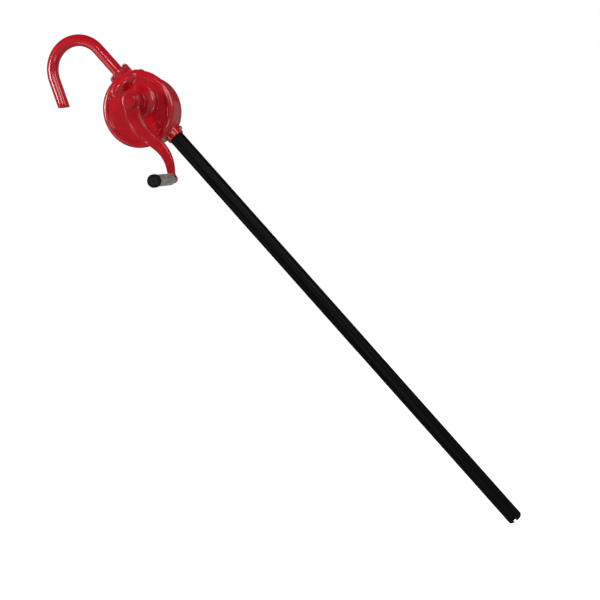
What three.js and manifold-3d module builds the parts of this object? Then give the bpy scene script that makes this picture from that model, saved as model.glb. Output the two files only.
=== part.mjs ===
// Rotary hand transfer pump: an eccentric two-vane pump on a straight suction pipe, with a hook spout
// and a crank.
// Millimetres. +Z up, the crank side faces -Y, the spout hooks over towards -X.
// The origin is on the suction pipe's axis, at the lower face of the inlet neck.
import * as THREE from 'three';
import { mergeVertices } from 'three/addons/utils/BufferGeometryUtils.js';
import Module from 'manifold-3d';

const wasm = await Module();
wasm.setup();

// ---- Driving dimensions -------------------------------------------------------------------------

const FIT_GAP = 0.3; // between pieces that sit together
const RUNNING_GAP = 0.1; // radial, between a shaft and its bush
const CUT_MARGIN = 2; // how far a cutter runs past the face it opens

const PIPE_OUTER_R = 16;
const PIPE_WALL = 2;
const PIPE_LENGTH = 1088;
const PIPE_ENGAGEMENT = 22; // length of pipe inside the inlet neck
const LOCK_SCREW_R = 3; // locks the pipe in the inlet neck
const LOCK_SCREW_HEIGHT = 9; // above the neck's end
const LOCK_SCREW_HEAD = 4;
const LOCK_SCREW_ACROSS_FLATS = 8;
const STRAINER_DEPTH = 12; // part of the strainer below the pipe's end
const STRAINER_SPIGOT = 14;
const STRAINER_WALL = 2;
const STRAINER_SLOTS = 4;
const STRAINER_SLOT_WIDTH = 6;
const STRAINER_EDGE_R = 6;
const STRAINER_MOUTH_R = 9;

const CHAMBER_R = 50;
const CHAMBER_WIDTH = 36;
const CASING_WALL = 25; // mean wall around the chamber
const FRONT_WALL = 12;
const RIM_OVERHANG = 6.5; // how much larger the front rim's radius is than the drum's
const RIM_THICKNESS = 10;
const RIM_LIP_WIDTH = 15;
const RIM_SHIFT_X = -0.5; // rim centre from the drum's centre
const RIM_SHIFT_Z = 5.5;
const RIM_FRONT_ROUND = 6;
const RIM_REAR_EDGE = 1;
const FACE_RECESS = 3;
const CASING_OFFSET_X = -15; // drum centre from the pipe's axis
const SHAFT_RISE = 13; // shaft above the drum's centre
const CHAMBER_SHIFT = -6; // chamber centre from the shaft's axis, along X
const CHAMBER_DROP = 3.5; // chamber centre below the shaft's axis
const INLET_NECK_LENGTH = 15; // from the neck's end to the drum
const OUTLET_NECK_LENGTH = 15;
const NECK_WALL = 2.7;
const NECK_CHAMFER = 1.2;
const NECK_STRAIGHT = 10; // plain end of a neck, before its flare
const INLET_ROOT_R = 26;
const INLET_FLARE = 20;
const INLET_REACH = 30; // how far the duct runs in from the drum's edge
const OUTLET_BULGE = 14; // how far the outlet duct stands out of the front face
const OUTLET_FLARE = 16;
const OUTLET_REACH = 27;
const DUCT_END_R = 8;
const PORT_R = 11;

const COVER_THICKNESS = 8;
const GASKET_THICKNESS = 1;
const COVER_EDGE = 2;
const COVER_BOSS_R = 20;
const COVER_BOSS_LENGTH = 12;
const COVER_BOSS_ROUND = 3;
const COVER_SCREW_COUNT = 6;
const COVER_SCREW_INSET = 6.5; // screw circle from the drum's edge
const COVER_SCREW_R = 3;
const COVER_SCREW_ENGAGEMENT = 12;

const SHAFT_R = 9;
const SHAFT_DRIVE_R = 7.5;
const BUSH_WALL = 4;
const BUSH_LENGTH = 12;
const PACKING_WALL = 5;
const PACKING_COUNT = 3;
const PACKING_HEIGHT = 3.5;
const BOSS_LENGTH = 20;
const BOSS_TIP_R = 22;
const BOSS_FLARE = 10;
const SMALL_EDGE = 1; // chamfer on turned edges
const BUSH_LIP = 2;
const LIP_CLEARANCE = 1.5;
const GLAND_SKIRT = 3.4;
const GLAND_HEAD = 7;
const GLAND_ACROSS_FLATS = 34;
const GLAND_CORNER_TRIM = 2; // corners turned down to this much beyond the flats

const ROTOR_CLEARANCE = 1.5; // at the closest point of the chamber wall
const ROTOR_SIDE_CLEARANCE = 0.3;
const ROTOR_PIN_R = 2.5;
const ROTOR_PIN_REACH = 17;
const VANE_THICKNESS = 4;
const VANE_SIDE_CLEARANCE = 0.2;
const VANE_PROTRUSION = 1.2;
const VANE_LENGTH = 21.5;
const VANE_SEAT_GAP = 1.5; // under a vane at rest: its inward travel and a clearance
const SPRING_COIL_R = 2.6;
const SPRING_WIRE_R = 0.5;
const SPRING_TURNS = 5;
const SPRING_LENGTH = 7.6;
const SPRING_SPACING = 18; // between the two springs of a vane

const CRANK_THROW = 182;
const CRANK_LEAN = THREE.MathUtils.degToRad(15.2); // towards the spout side of straight down
const ARM_BEND = 13; // sideways swing of the arm's S shape
const ARM_ROOT_WIDTH = 34;
const ARM_TIP_WIDTH = 13;
const ARM_TAPER = 1.5; // power of the taper: over 1, the arm narrows mostly near its tip
const ARM_THICKNESS = 12;
const ARM_STEPS = 20;
const EYE_R = 9.5;
const HUB_R = 20;
const HUB_BACK = 4; // hub behind the arm
const HUB_NOSE_R = 14.5;
const HUB_NOSE = 10; // hub in front of the arm
const HUB_NOSE_EDGE = 2;
const HUB_END_WALL = 4;
const HUB_GLAND_GAP = 2;
const SET_SCREW_R = 3;
const SET_SCREW_SINK = 0.5; // below the nose's surface
const SET_SCREW_ANGLE = THREE.MathUtils.degToRad(222); // from +X, seen from the front

const GRIP_LENGTH = 87;
const GRIP_R = 12.2;
const GRIP_WALL = 1.8;
const GRIP_PIN_R = 5;
const GRIP_PIN_HEAD_R = 9;
const GRIP_PIN_HEAD = 4;
const GRIP_BUSH_LENGTH = 8;
const GRIP_CAP_SKIRT = 7;
const GRIP_CAP_WALL = 1;
const GRIP_CAP_END = 4;
const GRIP_CAP_EDGE = 2;
const GRIP_WASHER = 4;
const GRIP_WASHER_R = 10.8;
const GRIP_NUT_HEIGHT = 5;
const GRIP_NUT_ACROSS_FLATS = 19;
const GRIP_PIN_TAIL = 1; // pin beyond its nut

const SPOUT_OUTER_R = 12.5;
const SPOUT_WALL = 1.8;
const SPOUT_ENGAGEMENT = 16; // tube inside the outlet neck
const SPOUT_RISE = 77; // straight rise above the outlet neck's face
const SPOUT_BEND_R = 63;
const SPOUT_BEND_ANGLE = THREE.MathUtils.degToRad(156);
const SPOUT_LEG = 62;
const SPOUT_MOUTH_SLANT = THREE.MathUtils.degToRad(12);
const SPOUT_BEAD = 1;
const SPOUT_BEAD_HEIGHT = 3;
const SEAL_WALL = 1.7;
const SEAL_HEIGHT = 2.4;
const SPOUT_FLANGE_THICKNESS = 8;
const SPOUT_FLANGE_BOSS = 3;
const SPOUT_FLANGE_BOSS_WALL = 1.2;
const SPOUT_FLANGE_EDGE = 0.6;
const FLANGE_PAD = 9; // thickness of the ears on the outlet neck
const FLANGE_EAR_R = 6.5;
const FLANGE_BOLT_R = 2.5;
const FLANGE_BOLT_EDGE = 1.5; // wall between a bolt's hole and the seal's seat
const FLANGE_BOLT_ACROSS_FLATS = 8;
const FLANGE_BOLT_HEAD = 3.5;
const COVER_SCREW_ACROSS_FLATS = 10;
const COVER_SCREW_HEAD = 4.5;

const FINE = 48; // facets round a large circle
const MEDIUM = 32;
const COARSE = 16;
const SPOUT_FACETS = 20;
const SPOUT_STEPS = 30;
const BEND_STEPS = 20;
const SPRING_STEPS = 9; // for each turn
const ROUND_STEPS = 4; // for a quarter of a round edge
const FLARE_STEPS = 8;

// ---- Derived sizes and places -------------------------------------------------------------------

const PIPE_INNER_R = PIPE_OUTER_R - PIPE_WALL;
const NECK_R = PIPE_OUTER_R + FIT_GAP + NECK_WALL;
const DRUM_R = CHAMBER_R + CASING_WALL;
const RIM_R = DRUM_R + RIM_OVERHANG;
const CASING_Z = INLET_NECK_LENGTH + DRUM_R;
const SHAFT_X = 0;
const SHAFT_Z = CASING_Z + SHAFT_RISE;
const CHAMBER_X = SHAFT_X + CHAMBER_SHIFT;
const CHAMBER_Z = SHAFT_Z - CHAMBER_DROP;
const ECCENTRICITY = Math.hypot(SHAFT_X - CHAMBER_X, SHAFT_Z - CHAMBER_Z);
const ROTOR_R = CHAMBER_R - ECCENTRICITY - ROTOR_CLEARANCE;
const NECK_TOP_Z = CASING_Z + DRUM_R + OUTLET_NECK_LENGTH;

const REAR_Y = CHAMBER_WIDTH / 2; // open end of the chamber
const FACE_Y = -CHAMBER_WIDTH / 2 - FRONT_WALL; // front plane of the rim
const BOSS_END_Y = FACE_Y - BOSS_LENGTH;
const OUTLET_ROOT_R = -FACE_Y + OUTLET_BULGE;
const RIM_X = CASING_OFFSET_X + RIM_SHIFT_X;
const RIM_Z = CASING_Z + RIM_SHIFT_Z;

const BUSH_OUTER_R = SHAFT_R + RUNNING_GAP + BUSH_WALL;
const BUSH_SEAT_R = BUSH_OUTER_R + FIT_GAP;
const FRONT_BUSH_Y = -REAR_Y - FIT_GAP; // rear end of the front bush
const STUFFING_R = SHAFT_R + PACKING_WALL + 2 * FIT_GAP;
const STUFFING_FLOOR_Y = FRONT_BUSH_Y - BUSH_LENGTH - FIT_GAP - BUSH_LIP;
const LIP_R = SHAFT_R + LIP_CLEARANCE;

const COVER_INNER_Y = REAR_Y + GASKET_THICKNESS + 2 * FIT_GAP;
const COVER_OUTER_Y = COVER_INNER_Y + COVER_THICKNESS;
const SCREW_CIRCLE_R = DRUM_R - COVER_SCREW_INSET;

const GLAND_END_Y = BOSS_END_Y - FIT_GAP - GLAND_HEAD;
const HUB_REAR_Y = GLAND_END_Y - HUB_GLAND_GAP;
const ARM_REAR_Y = HUB_REAR_Y - HUB_BACK;
const ARM_FRONT_Y = ARM_REAR_Y - ARM_THICKNESS;
const HUB_END_Y = ARM_FRONT_Y - HUB_NOSE;
const SHAFT_TIP_Y = HUB_END_Y + HUB_END_WALL + FIT_GAP;
const SHAFT_TAIL_Y = COVER_INNER_Y + BUSH_LENGTH + 2 * FIT_GAP;

const SLOT_FLOOR_R = ROTOR_R + VANE_PROTRUSION - VANE_LENGTH - VANE_SEAT_GAP;
const SPRING_TOP_R = SLOT_FLOOR_R + VANE_SEAT_GAP - FIT_GAP;
const SPRING_BASE_R = SPRING_TOP_R - SPRING_LENGTH;

const GRIP_START_Y = ARM_FRONT_Y - GRIP_WASHER - 2 * FIT_GAP;
const GRIP_END_Y = GRIP_START_Y - GRIP_LENGTH;
const GRIP_INNER_R = GRIP_R - GRIP_WALL;

const FLANGE_BASE_Z = NECK_TOP_Z + GASKET_THICKNESS + 2 * FIT_GAP;
const FLANGE_TOP_Z = FLANGE_BASE_Z + SPOUT_FLANGE_THICKNESS;
const SPOUT_SEAT_Z = NECK_TOP_Z - SPOUT_ENGAGEMENT;
const SPOUT_POCKET_R = SPOUT_OUTER_R + FIT_GAP;
const BEAD_SEAT_R = SPOUT_OUTER_R + SPOUT_BEAD + FIT_GAP;
const FLANGE_BOSS_R = SPOUT_POCKET_R + SPOUT_FLANGE_BOSS_WALL;
const SEAL_SEAT_R = SPOUT_POCKET_R + SEAL_WALL + FIT_GAP;
const FLANGE_BOLT_OFFSET = SEAL_SEAT_R + FLANGE_BOLT_EDGE + FLANGE_BOLT_R + FIT_GAP;

// ---- Shape helpers ------------------------------------------------------------------------------

/** Turns a closed three.js geometry into a solid, its faces pointing outwards. */
function solid(geometry) {
  const bare = geometry.clone();
  bare.deleteAttribute('normal');
  bare.deleteAttribute('uv');
  const merged = mergeVertices(bare, 1e-4);
  const position = merged.attributes.position;
  const corners = [0, 1, 2].map(() => new THREE.Vector3());
  const triangles = [];
  let volume = 0;
  for (let i = 0; i < merged.index.count; i += 3) {
    const [a, b, c] = [0, 1, 2].map((k) => merged.index.getX(i + k));
    if (a === b || b === c || c === a) continue;
    [a, b, c].forEach((index, k) => corners[k].fromBufferAttribute(position, index));
    volume += corners[0].dot(corners[1].clone().cross(corners[2]));
    triangles.push([a, b, c]);
  }
  const outward = volume < 0 ? triangles.map(([a, b, c]) => [a, c, b]) : triangles;
  const mesh = new wasm.Mesh({
    numProp: 3,
    vertProperties: new Float32Array(position.array),
    triVerts: new Uint32Array(outward.flat()),
  });
  mesh.merge();
  return new wasm.Manifold(mesh);
}

/** Turns a solid back into a three.js geometry. */
function geometryOf(body) {
  const mesh = body.getMesh();
  const geometry = new THREE.BufferGeometry();
  geometry.setAttribute('position', new THREE.BufferAttribute(mesh.vertProperties.slice(), 3));
  geometry.setIndex(new THREE.BufferAttribute(mesh.triVerts.slice(), 1));
  geometry.computeVertexNormals();
  return geometry;
}

/** A solid of revolution about Y, from [radius, y] points. Off the axis the profile closes on itself. */
function turned(profile, facets = MEDIUM) {
  const points = profile.map(([radius, y]) => new THREE.Vector2(radius, y));
  const onAxis = points[0].x === 0 && points[points.length - 1].x === 0;
  if (!onAxis) points.push(points[0].clone());
  return solid(new THREE.LatheGeometry(points, facets));
}

function disc(radius, y0, y1, facets = MEDIUM) {
  return turned([[0, y0], [radius, y0], [radius, y1], [0, y1]], facets);
}

function ring(innerR, outerR, y0, y1, facets = MEDIUM) {
  return turned([[innerR, y0], [outerR, y0], [outerR, y1], [innerR, y1]], facets);
}

/** A hexagonal prism along Y with two flats facing up and down. */
function hexagon(acrossFlats, y0, y1) {
  const cornerR = acrossFlats / Math.sqrt(3);
  const geometry = new THREE.CylinderGeometry(cornerR, cornerR, y1 - y0, 6);
  geometry.rotateY(Math.PI / 6);
  geometry.translate(0, (y0 + y1) / 2, 0);
  return solid(geometry);
}

function block(x0, x1, y0, y1, z0, z1) {
  const geometry = new THREE.BoxGeometry(x1 - x0, y1 - y0, z1 - z0);
  geometry.translate((x0 + x1) / 2, (y0 + y1) / 2, (z0 + z1) / 2);
  return solid(geometry);
}

/** Stands a solid that was made along Y up along Z. */
function upright(body) {
  return body.rotate([90, 0, 0]);
}

/** Lays a solid that was made along Y down along X. */
function sideways(body) {
  return body.rotate([0, 0, -90]);
}

function joined(solids) {
  return solids.reduce((whole, piece) => whole.add(piece));
}

/** Points of an arc, as [a, b] pairs round (a0, b0), from one angle to another. */
function arc(a0, b0, radiusA, radiusB, from, to, steps) {
  return Array.from({ length: steps + 1 }, (_, i) => {
    const angle = from + ((to - from) * i) / steps;
    return [a0 + radiusA * Math.cos(angle), b0 + radiusB * Math.sin(angle)];
  });
}

/** Places round a circle, as { x, z } offsets from its centre. */
function placesRound(count, radius, firstAngle = 0) {
  return Array.from({ length: count }, (_, i) => {
    const angle = firstAngle + (2 * Math.PI * i) / count;
    return { x: radius * Math.cos(angle), z: radius * Math.sin(angle) };
  });
}

// ---- Finishes --------------------------------------------------------------------------------

const finishes = {
  red_paint: { color: 0xb1061c, roughness: 0.3, metalness: 0 },
  crank_paint: { color: 0xa01020, roughness: 0.35, metalness: 0 },
  black_pipe: { color: 0x0c0d10, roughness: 0.35, metalness: 0 },
  black_plastic: { color: 0x08080a, roughness: 0.5, metalness: 0 },
  zinc: { color: 0xa3a19c, roughness: 0.4, metalness: 0.9 },
  steel: { color: 0x8c8c8f, roughness: 0.35, metalness: 1 },
  bronze: { color: 0xa87c3f, roughness: 0.4, metalness: 1 },
  cast_iron: { color: 0x5b5a5a, roughness: 0.6, metalness: 0.8 },
  gasket: { color: 0x3f4a40, roughness: 0.9, metalness: 0 },
  packing: { color: 0x555049, roughness: 0.9, metalness: 0 },
  seal_rubber: { color: 0x101010, roughness: 0.7, metalness: 0 },
};

/** Names a solid as one sub-part and adds it to a group. */
function addPart(group, name, finish, body, position = [0, 0, 0]) {
  const mesh = new THREE.Mesh(geometryOf(body), new THREE.MeshStandardMaterial(finishes[finish]));
  mesh.name = name;
  mesh.position.set(...position);
  group.add(mesh);
}

const pump = new THREE.Group();

// ---- Suction pipe and strainer -------------------------------------------------------

function suctionPipe() {
  return upright(ring(PIPE_INNER_R, PIPE_OUTER_R, 0, PIPE_LENGTH));
}

function footStrainer() {
  const spigotR = PIPE_INNER_R - FIT_GAP;
  const boreR = spigotR - STRAINER_WALL;
  const edge = arc(PIPE_OUTER_R - STRAINER_EDGE_R, STRAINER_EDGE_R, STRAINER_EDGE_R, STRAINER_EDGE_R,
    -Math.PI / 2, 0, ROUND_STEPS);
  const shell = upright(turned([
    [STRAINER_MOUTH_R, 0],
    ...edge,
    [PIPE_OUTER_R, STRAINER_DEPTH - FIT_GAP],
    [spigotR, STRAINER_DEPTH - FIT_GAP],
    [spigotR, STRAINER_DEPTH + STRAINER_SPIGOT],
    [boreR, STRAINER_DEPTH + STRAINER_SPIGOT],
    [boreR, STRAINER_WALL],
    [STRAINER_MOUTH_R, STRAINER_WALL],
  ]));
  const slots = Array.from({ length: STRAINER_SLOTS / 2 }, (_, i) => block(
    -STRAINER_SLOT_WIDTH / 2, STRAINER_SLOT_WIDTH / 2,
    -PIPE_OUTER_R - CUT_MARGIN, PIPE_OUTER_R + CUT_MARGIN,
    -CUT_MARGIN, STRAINER_DEPTH - STRAINER_WALL,
  ).rotate([0, 0, (360 / STRAINER_SLOTS) * i]));
  return shell.subtract(joined(slots));
}

const pipeEndZ = PIPE_ENGAGEMENT - PIPE_LENGTH;
addPart(pump, 'suction_pipe', 'black_pipe', suctionPipe(), [0, 0, pipeEndZ]);
addPart(pump, 'foot_strainer', 'black_plastic', footStrainer(), [0, 0, pipeEndZ - STRAINER_DEPTH]);

// ---- Pump body --------------------------------------------------------------------------------

/** A neck with its trumpet-shaped root, along +Y from the casing's centre outwards. */
function neck(length, rootR, flareLength, reach) {
  const innerY = DRUM_R - reach;
  const endY = DRUM_R + length;
  const flareFrom = endY - NECK_STRAIGHT;
  return turned([
    [0, innerY],
    ...arc(rootR - DUCT_END_R, innerY + DUCT_END_R, DUCT_END_R, DUCT_END_R, -Math.PI / 2, 0, ROUND_STEPS),
    ...arc(rootR, flareFrom, rootR - NECK_R, flareLength, -Math.PI / 2, -Math.PI, FLARE_STEPS),
    [NECK_R, endY - NECK_CHAMFER],
    [NECK_R - NECK_CHAMFER, endY],
    [0, endY],
  ]);
}

/** The oval with two ears that the outlet neck, its gasket and the spout flange share. */
function earPlate(z0, z1) {
  const ears = [-1, 1].map((side) => upright(disc(FLANGE_EAR_R, z0, z1, COARSE))
    .translate([side * FLANGE_BOLT_OFFSET, 0, 0]));
  const web = block(-FLANGE_BOLT_OFFSET, FLANGE_BOLT_OFFSET, -FLANGE_EAR_R, FLANGE_EAR_R, z0, z1);
  return joined([upright(disc(NECK_R, z0, z1)), web, ...ears]);
}

function earHoles(radius, z0, z1) {
  return joined([-1, 1].map((side) => upright(disc(radius, z0, z1, COARSE))
    .translate([side * FLANGE_BOLT_OFFSET, 0, 0])));
}

function pumpBody() {
  const rimFront = arc(RIM_R - RIM_FRONT_ROUND, FACE_Y + RIM_FRONT_ROUND, RIM_FRONT_ROUND, RIM_FRONT_ROUND,
    -Math.PI / 2, 0, ROUND_STEPS);
  const rim = turned([
    [0, FACE_Y],
    ...rimFront,
    [RIM_R, FACE_Y + RIM_THICKNESS - RIM_REAR_EDGE],
    [RIM_R - RIM_REAR_EDGE, FACE_Y + RIM_THICKNESS],
    [0, FACE_Y + RIM_THICKNESS],
  ], FINE).subtract(disc(RIM_R - RIM_LIP_WIDTH, FACE_Y - CUT_MARGIN, FACE_Y + FACE_RECESS, FINE));
  const drum = disc(DRUM_R, FACE_Y + RIM_THICKNESS / 2, REAR_Y, FINE);
  const casing = joined([
    rim.translate([RIM_X, 0, RIM_Z]),
    drum.translate([CASING_OFFSET_X, 0, CASING_Z]),
  ]);
  const boss = turned([
    [0, FACE_Y + FRONT_WALL / 2],
    [BOSS_TIP_R + BOSS_FLARE, FACE_Y + FACE_RECESS],
    ...arc(BOSS_TIP_R + BOSS_FLARE, BOSS_END_Y + BOSS_FLARE / 2, BOSS_FLARE,
      BOSS_LENGTH - BOSS_FLARE / 2, Math.PI / 2, Math.PI, FLARE_STEPS),
    [BOSS_TIP_R, BOSS_END_Y + SMALL_EDGE],
    [BOSS_TIP_R - SMALL_EDGE, BOSS_END_Y],
    [0, BOSS_END_Y],
  ]).translate([SHAFT_X, 0, SHAFT_Z]);
  const inletNeck = upright(neck(INLET_NECK_LENGTH, INLET_ROOT_R, INLET_FLARE, INLET_REACH))
    .rotate([180, 0, 0]).translate([0, 0, CASING_Z]);
  const outletNeck = upright(neck(OUTLET_NECK_LENGTH, OUTLET_ROOT_R, OUTLET_FLARE, OUTLET_REACH))
    .translate([0, 0, CASING_Z]);
  const behind = block(-RIM_R * 2, RIM_R * 2, REAR_Y, RIM_R * 2, -RIM_R, NECK_TOP_Z - FLANGE_PAD);
  const necks = inletNeck.add(outletNeck).subtract(behind.add(
    block(-RIM_R * 2, RIM_R * 2, NECK_R, RIM_R * 2, -RIM_R, NECK_TOP_Z + CUT_MARGIN)));
  const outside = joined([casing, boss, necks, earPlate(NECK_TOP_Z - FLANGE_PAD, NECK_TOP_Z)]);

  const chamber = disc(CHAMBER_R, -REAR_Y, REAR_Y + CUT_MARGIN, FINE).translate([CHAMBER_X, 0, CHAMBER_Z]);
  const shaftBore = joined([
    disc(BUSH_SEAT_R, STUFFING_FLOOR_Y + BUSH_LIP, 0),
    disc(LIP_R, BOSS_END_Y - CUT_MARGIN, 0),
    disc(STUFFING_R, BOSS_END_Y - CUT_MARGIN, STUFFING_FLOOR_Y),
  ]).translate([SHAFT_X, 0, SHAFT_Z]);
  const pipeSocket = upright(disc(PIPE_OUTER_R + FIT_GAP, -CUT_MARGIN, PIPE_ENGAGEMENT + FIT_GAP));
  const ports = upright(disc(PORT_R, 0, NECK_TOP_Z));
  const spoutSocket = upright(joined([
    disc(SPOUT_POCKET_R, SPOUT_SEAT_Z - FIT_GAP, NECK_TOP_Z + CUT_MARGIN),
    disc(BEAD_SEAT_R, NECK_TOP_Z - SPOUT_BEAD_HEIGHT - 2 * FIT_GAP, NECK_TOP_Z + CUT_MARGIN),
  ]));
  const screwHoles = joined(placesRound(COVER_SCREW_COUNT, SCREW_CIRCLE_R).map(({ x, z }) => disc(
    COVER_SCREW_R + FIT_GAP, REAR_Y - COVER_SCREW_ENGAGEMENT - CUT_MARGIN, REAR_Y + CUT_MARGIN, COARSE,
  ).translate([CASING_OFFSET_X + x, 0, CASING_Z + z])));
  const boltHoles = earHoles(FLANGE_BOLT_R + FIT_GAP,
    NECK_TOP_Z - FLANGE_PAD - CUT_MARGIN, NECK_TOP_Z + CUT_MARGIN);
  const lockHole = sideways(disc(LOCK_SCREW_R + FIT_GAP, 0, NECK_R + CUT_MARGIN, COARSE))
    .translate([0, 0, LOCK_SCREW_HEIGHT]);
  return outside.subtract(joined([
    chamber, shaftBore, pipeSocket, ports, spoutSocket, screwHoles, boltHoles, lockHole,
  ]));
}

addPart(pump, 'pump_body', 'red_paint', pumpBody());

/** A hexagon-headed bolt along Y: its head runs from y = 0 outwards, its shank to y = -length. */
function hexBolt(radius, length, acrossFlats, head) {
  return hexagon(acrossFlats, 0, head).add(disc(radius, -length, head / 2, COARSE));
}

const lockScrewLength = NECK_R - PIPE_OUTER_R;
addPart(pump, 'pipe_lock_screw', 'zinc', sideways(
  hexBolt(LOCK_SCREW_R, lockScrewLength, LOCK_SCREW_ACROSS_FLATS, LOCK_SCREW_HEAD),
), [NECK_R + FIT_GAP, 0, LOCK_SCREW_HEIGHT]);

// ---- Rear cover, its gasket and screws ----------------------------------------------------------

const casingGroup = new THREE.Group();
casingGroup.position.set(CASING_OFFSET_X, 0, CASING_Z);
pump.add(casingGroup);

/** Room for the pipe's upper end, seen from a piece whose origin stands at y in the casing's group. */
function pipeRelief(y) {
  return upright(disc(PIPE_OUTER_R + FIT_GAP, -CUT_MARGIN, PIPE_ENGAGEMENT + FIT_GAP))
    .translate([-CASING_OFFSET_X, -y, -CASING_Z]);
}

function coverGasket() {
  const holes = placesRound(COVER_SCREW_COUNT, SCREW_CIRCLE_R).map(({ x, z }) => disc(
    COVER_SCREW_R + FIT_GAP, -CUT_MARGIN, GASKET_THICKNESS + CUT_MARGIN, COARSE,
  ).translate([x, 0, z]));
  const chamber = disc(CHAMBER_R, -CUT_MARGIN, GASKET_THICKNESS + CUT_MARGIN, FINE)
    .translate([CHAMBER_X - CASING_OFFSET_X, 0, CHAMBER_Z - CASING_Z]);
  return disc(DRUM_R, 0, GASKET_THICKNESS, FINE)
    .subtract(joined([chamber, pipeRelief(REAR_Y + FIT_GAP), ...holes]));
}

function rearCover() {
  const bossX = SHAFT_X - CASING_OFFSET_X;
  const bossZ = SHAFT_Z - CASING_Z;
  const plate = turned([
    [0, 0],
    [DRUM_R, 0],
    [DRUM_R, COVER_THICKNESS - COVER_EDGE],
    [DRUM_R - COVER_EDGE, COVER_THICKNESS],
    [0, COVER_THICKNESS],
  ], FINE);
  const boss = turned([
    [0, COVER_THICKNESS / 2],
    [COVER_BOSS_R + COVER_BOSS_ROUND, COVER_THICKNESS / 2],
    [COVER_BOSS_R + COVER_BOSS_ROUND, COVER_THICKNESS],
    [COVER_BOSS_R, COVER_THICKNESS + COVER_BOSS_ROUND],
    [COVER_BOSS_R, COVER_THICKNESS + COVER_BOSS_LENGTH - COVER_BOSS_ROUND],
    [COVER_BOSS_R - COVER_BOSS_ROUND, COVER_THICKNESS + COVER_BOSS_LENGTH],
    [0, COVER_THICKNESS + COVER_BOSS_LENGTH],
  ]).translate([bossX, 0, bossZ]);
  const bushSeat = disc(BUSH_SEAT_R, -CUT_MARGIN, BUSH_LENGTH + 3 * FIT_GAP)
    .translate([bossX, 0, bossZ]);
  const holes = placesRound(COVER_SCREW_COUNT, SCREW_CIRCLE_R).map(({ x, z }) => disc(
    COVER_SCREW_R + FIT_GAP, -CUT_MARGIN, COVER_THICKNESS + CUT_MARGIN, COARSE,
  ).translate([x, 0, z]));
  return plate.add(boss).subtract(joined([bushSeat, pipeRelief(COVER_INNER_Y), ...holes]));
}

addPart(casingGroup, 'cover_gasket', 'gasket', coverGasket(), [0, REAR_Y + FIT_GAP, 0]);
addPart(casingGroup, 'rear_cover', 'red_paint', rearCover(), [0, COVER_INNER_Y, 0]);
placesRound(COVER_SCREW_COUNT, SCREW_CIRCLE_R).forEach(({ x, z }, i) => {
  const length = COVER_OUTER_Y + FIT_GAP - REAR_Y + COVER_SCREW_ENGAGEMENT;
  addPart(casingGroup, `cover_screw_${i + 1}`, 'zinc',
    hexBolt(COVER_SCREW_R, length, COVER_SCREW_ACROSS_FLATS, COVER_SCREW_HEAD),
    [x, COVER_OUTER_Y + FIT_GAP, z]);
});

// ---- Shaft line: bushes, packing, gland, shaft, rotor, vanes ------------------------------------

const shaftGroup = new THREE.Group();
shaftGroup.position.set(SHAFT_X, 0, SHAFT_Z);
pump.add(shaftGroup);

addPart(shaftGroup, 'front_bush', 'bronze',
  ring(SHAFT_R + RUNNING_GAP, BUSH_OUTER_R, FRONT_BUSH_Y - BUSH_LENGTH, FRONT_BUSH_Y));
addPart(shaftGroup, 'rear_bush', 'bronze',
  ring(SHAFT_R + RUNNING_GAP, BUSH_OUTER_R, 0, BUSH_LENGTH), [0, COVER_INNER_Y + FIT_GAP, 0]);
for (let i = 0; i < PACKING_COUNT; i += 1) {
  const y = STUFFING_FLOOR_Y - FIT_GAP - (i + 1) * PACKING_HEIGHT - i * FIT_GAP;
  addPart(shaftGroup, `packing_ring_${i + 1}`, 'packing',
    ring(SHAFT_R + FIT_GAP, STUFFING_R - FIT_GAP, 0, PACKING_HEIGHT), [0, y, 0]);
}

function glandNut() {
  const skirt = disc(STUFFING_R - FIT_GAP, BOSS_END_Y - FIT_GAP, BOSS_END_Y + GLAND_SKIRT);
  const head = hexagon(GLAND_ACROSS_FLATS, GLAND_END_Y, BOSS_END_Y - FIT_GAP)
    .intersect(disc(GLAND_ACROSS_FLATS / 2 + GLAND_CORNER_TRIM, GLAND_END_Y, BOSS_END_Y));
  return head.add(skirt).subtract(disc(SHAFT_R + FIT_GAP, GLAND_END_Y - CUT_MARGIN, 0));
}
addPart(shaftGroup, 'gland_nut', 'red_paint', glandNut());

function pinHole(radius) {
  return sideways(disc(radius, -ROTOR_PIN_REACH - FIT_GAP, ROTOR_R + CUT_MARGIN, COARSE));
}

function shaft() {
  return turned([
    [0, SHAFT_TIP_Y],
    [SHAFT_DRIVE_R - SMALL_EDGE, SHAFT_TIP_Y],
    [SHAFT_DRIVE_R, SHAFT_TIP_Y + SMALL_EDGE],
    [SHAFT_DRIVE_R, HUB_REAR_Y],
    [SHAFT_R, HUB_REAR_Y],
    [SHAFT_R, SHAFT_TAIL_Y - SMALL_EDGE],
    [SHAFT_R - SMALL_EDGE, SHAFT_TAIL_Y],
    [0, SHAFT_TAIL_Y],
  ]).subtract(pinHole(ROTOR_PIN_R + FIT_GAP));
}

/** A pocket or a slot that opens the rotor upwards from a radius. */
function vaneSlot() {
  const halfSlot = VANE_THICKNESS / 2 + VANE_SIDE_CLEARANCE;
  const slot = block(-halfSlot, halfSlot, -REAR_Y, REAR_Y, SLOT_FLOOR_R, ROTOR_R + CUT_MARGIN);
  const pocketR = SPRING_COIL_R + SPRING_WIRE_R + FIT_GAP;
  const pockets = [-1, 1].map((side) => upright(disc(
    pocketR, SPRING_BASE_R - FIT_GAP, SPRING_TOP_R + FIT_GAP, COARSE,
  )).translate([0, (side * SPRING_SPACING) / 2, 0]));
  return joined([slot, ...pockets]);
}

function rotor() {
  const halfWidth = REAR_Y - ROTOR_SIDE_CLEARANCE;
  const slots = vaneSlot().add(vaneSlot().rotate([0, 180, 0]));
  return disc(ROTOR_R, -halfWidth, halfWidth, FINE)
    .subtract(joined([disc(SHAFT_R + FIT_GAP, -REAR_Y, REAR_Y), slots, pinHole(ROTOR_PIN_R + FIT_GAP)]));
}

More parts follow.
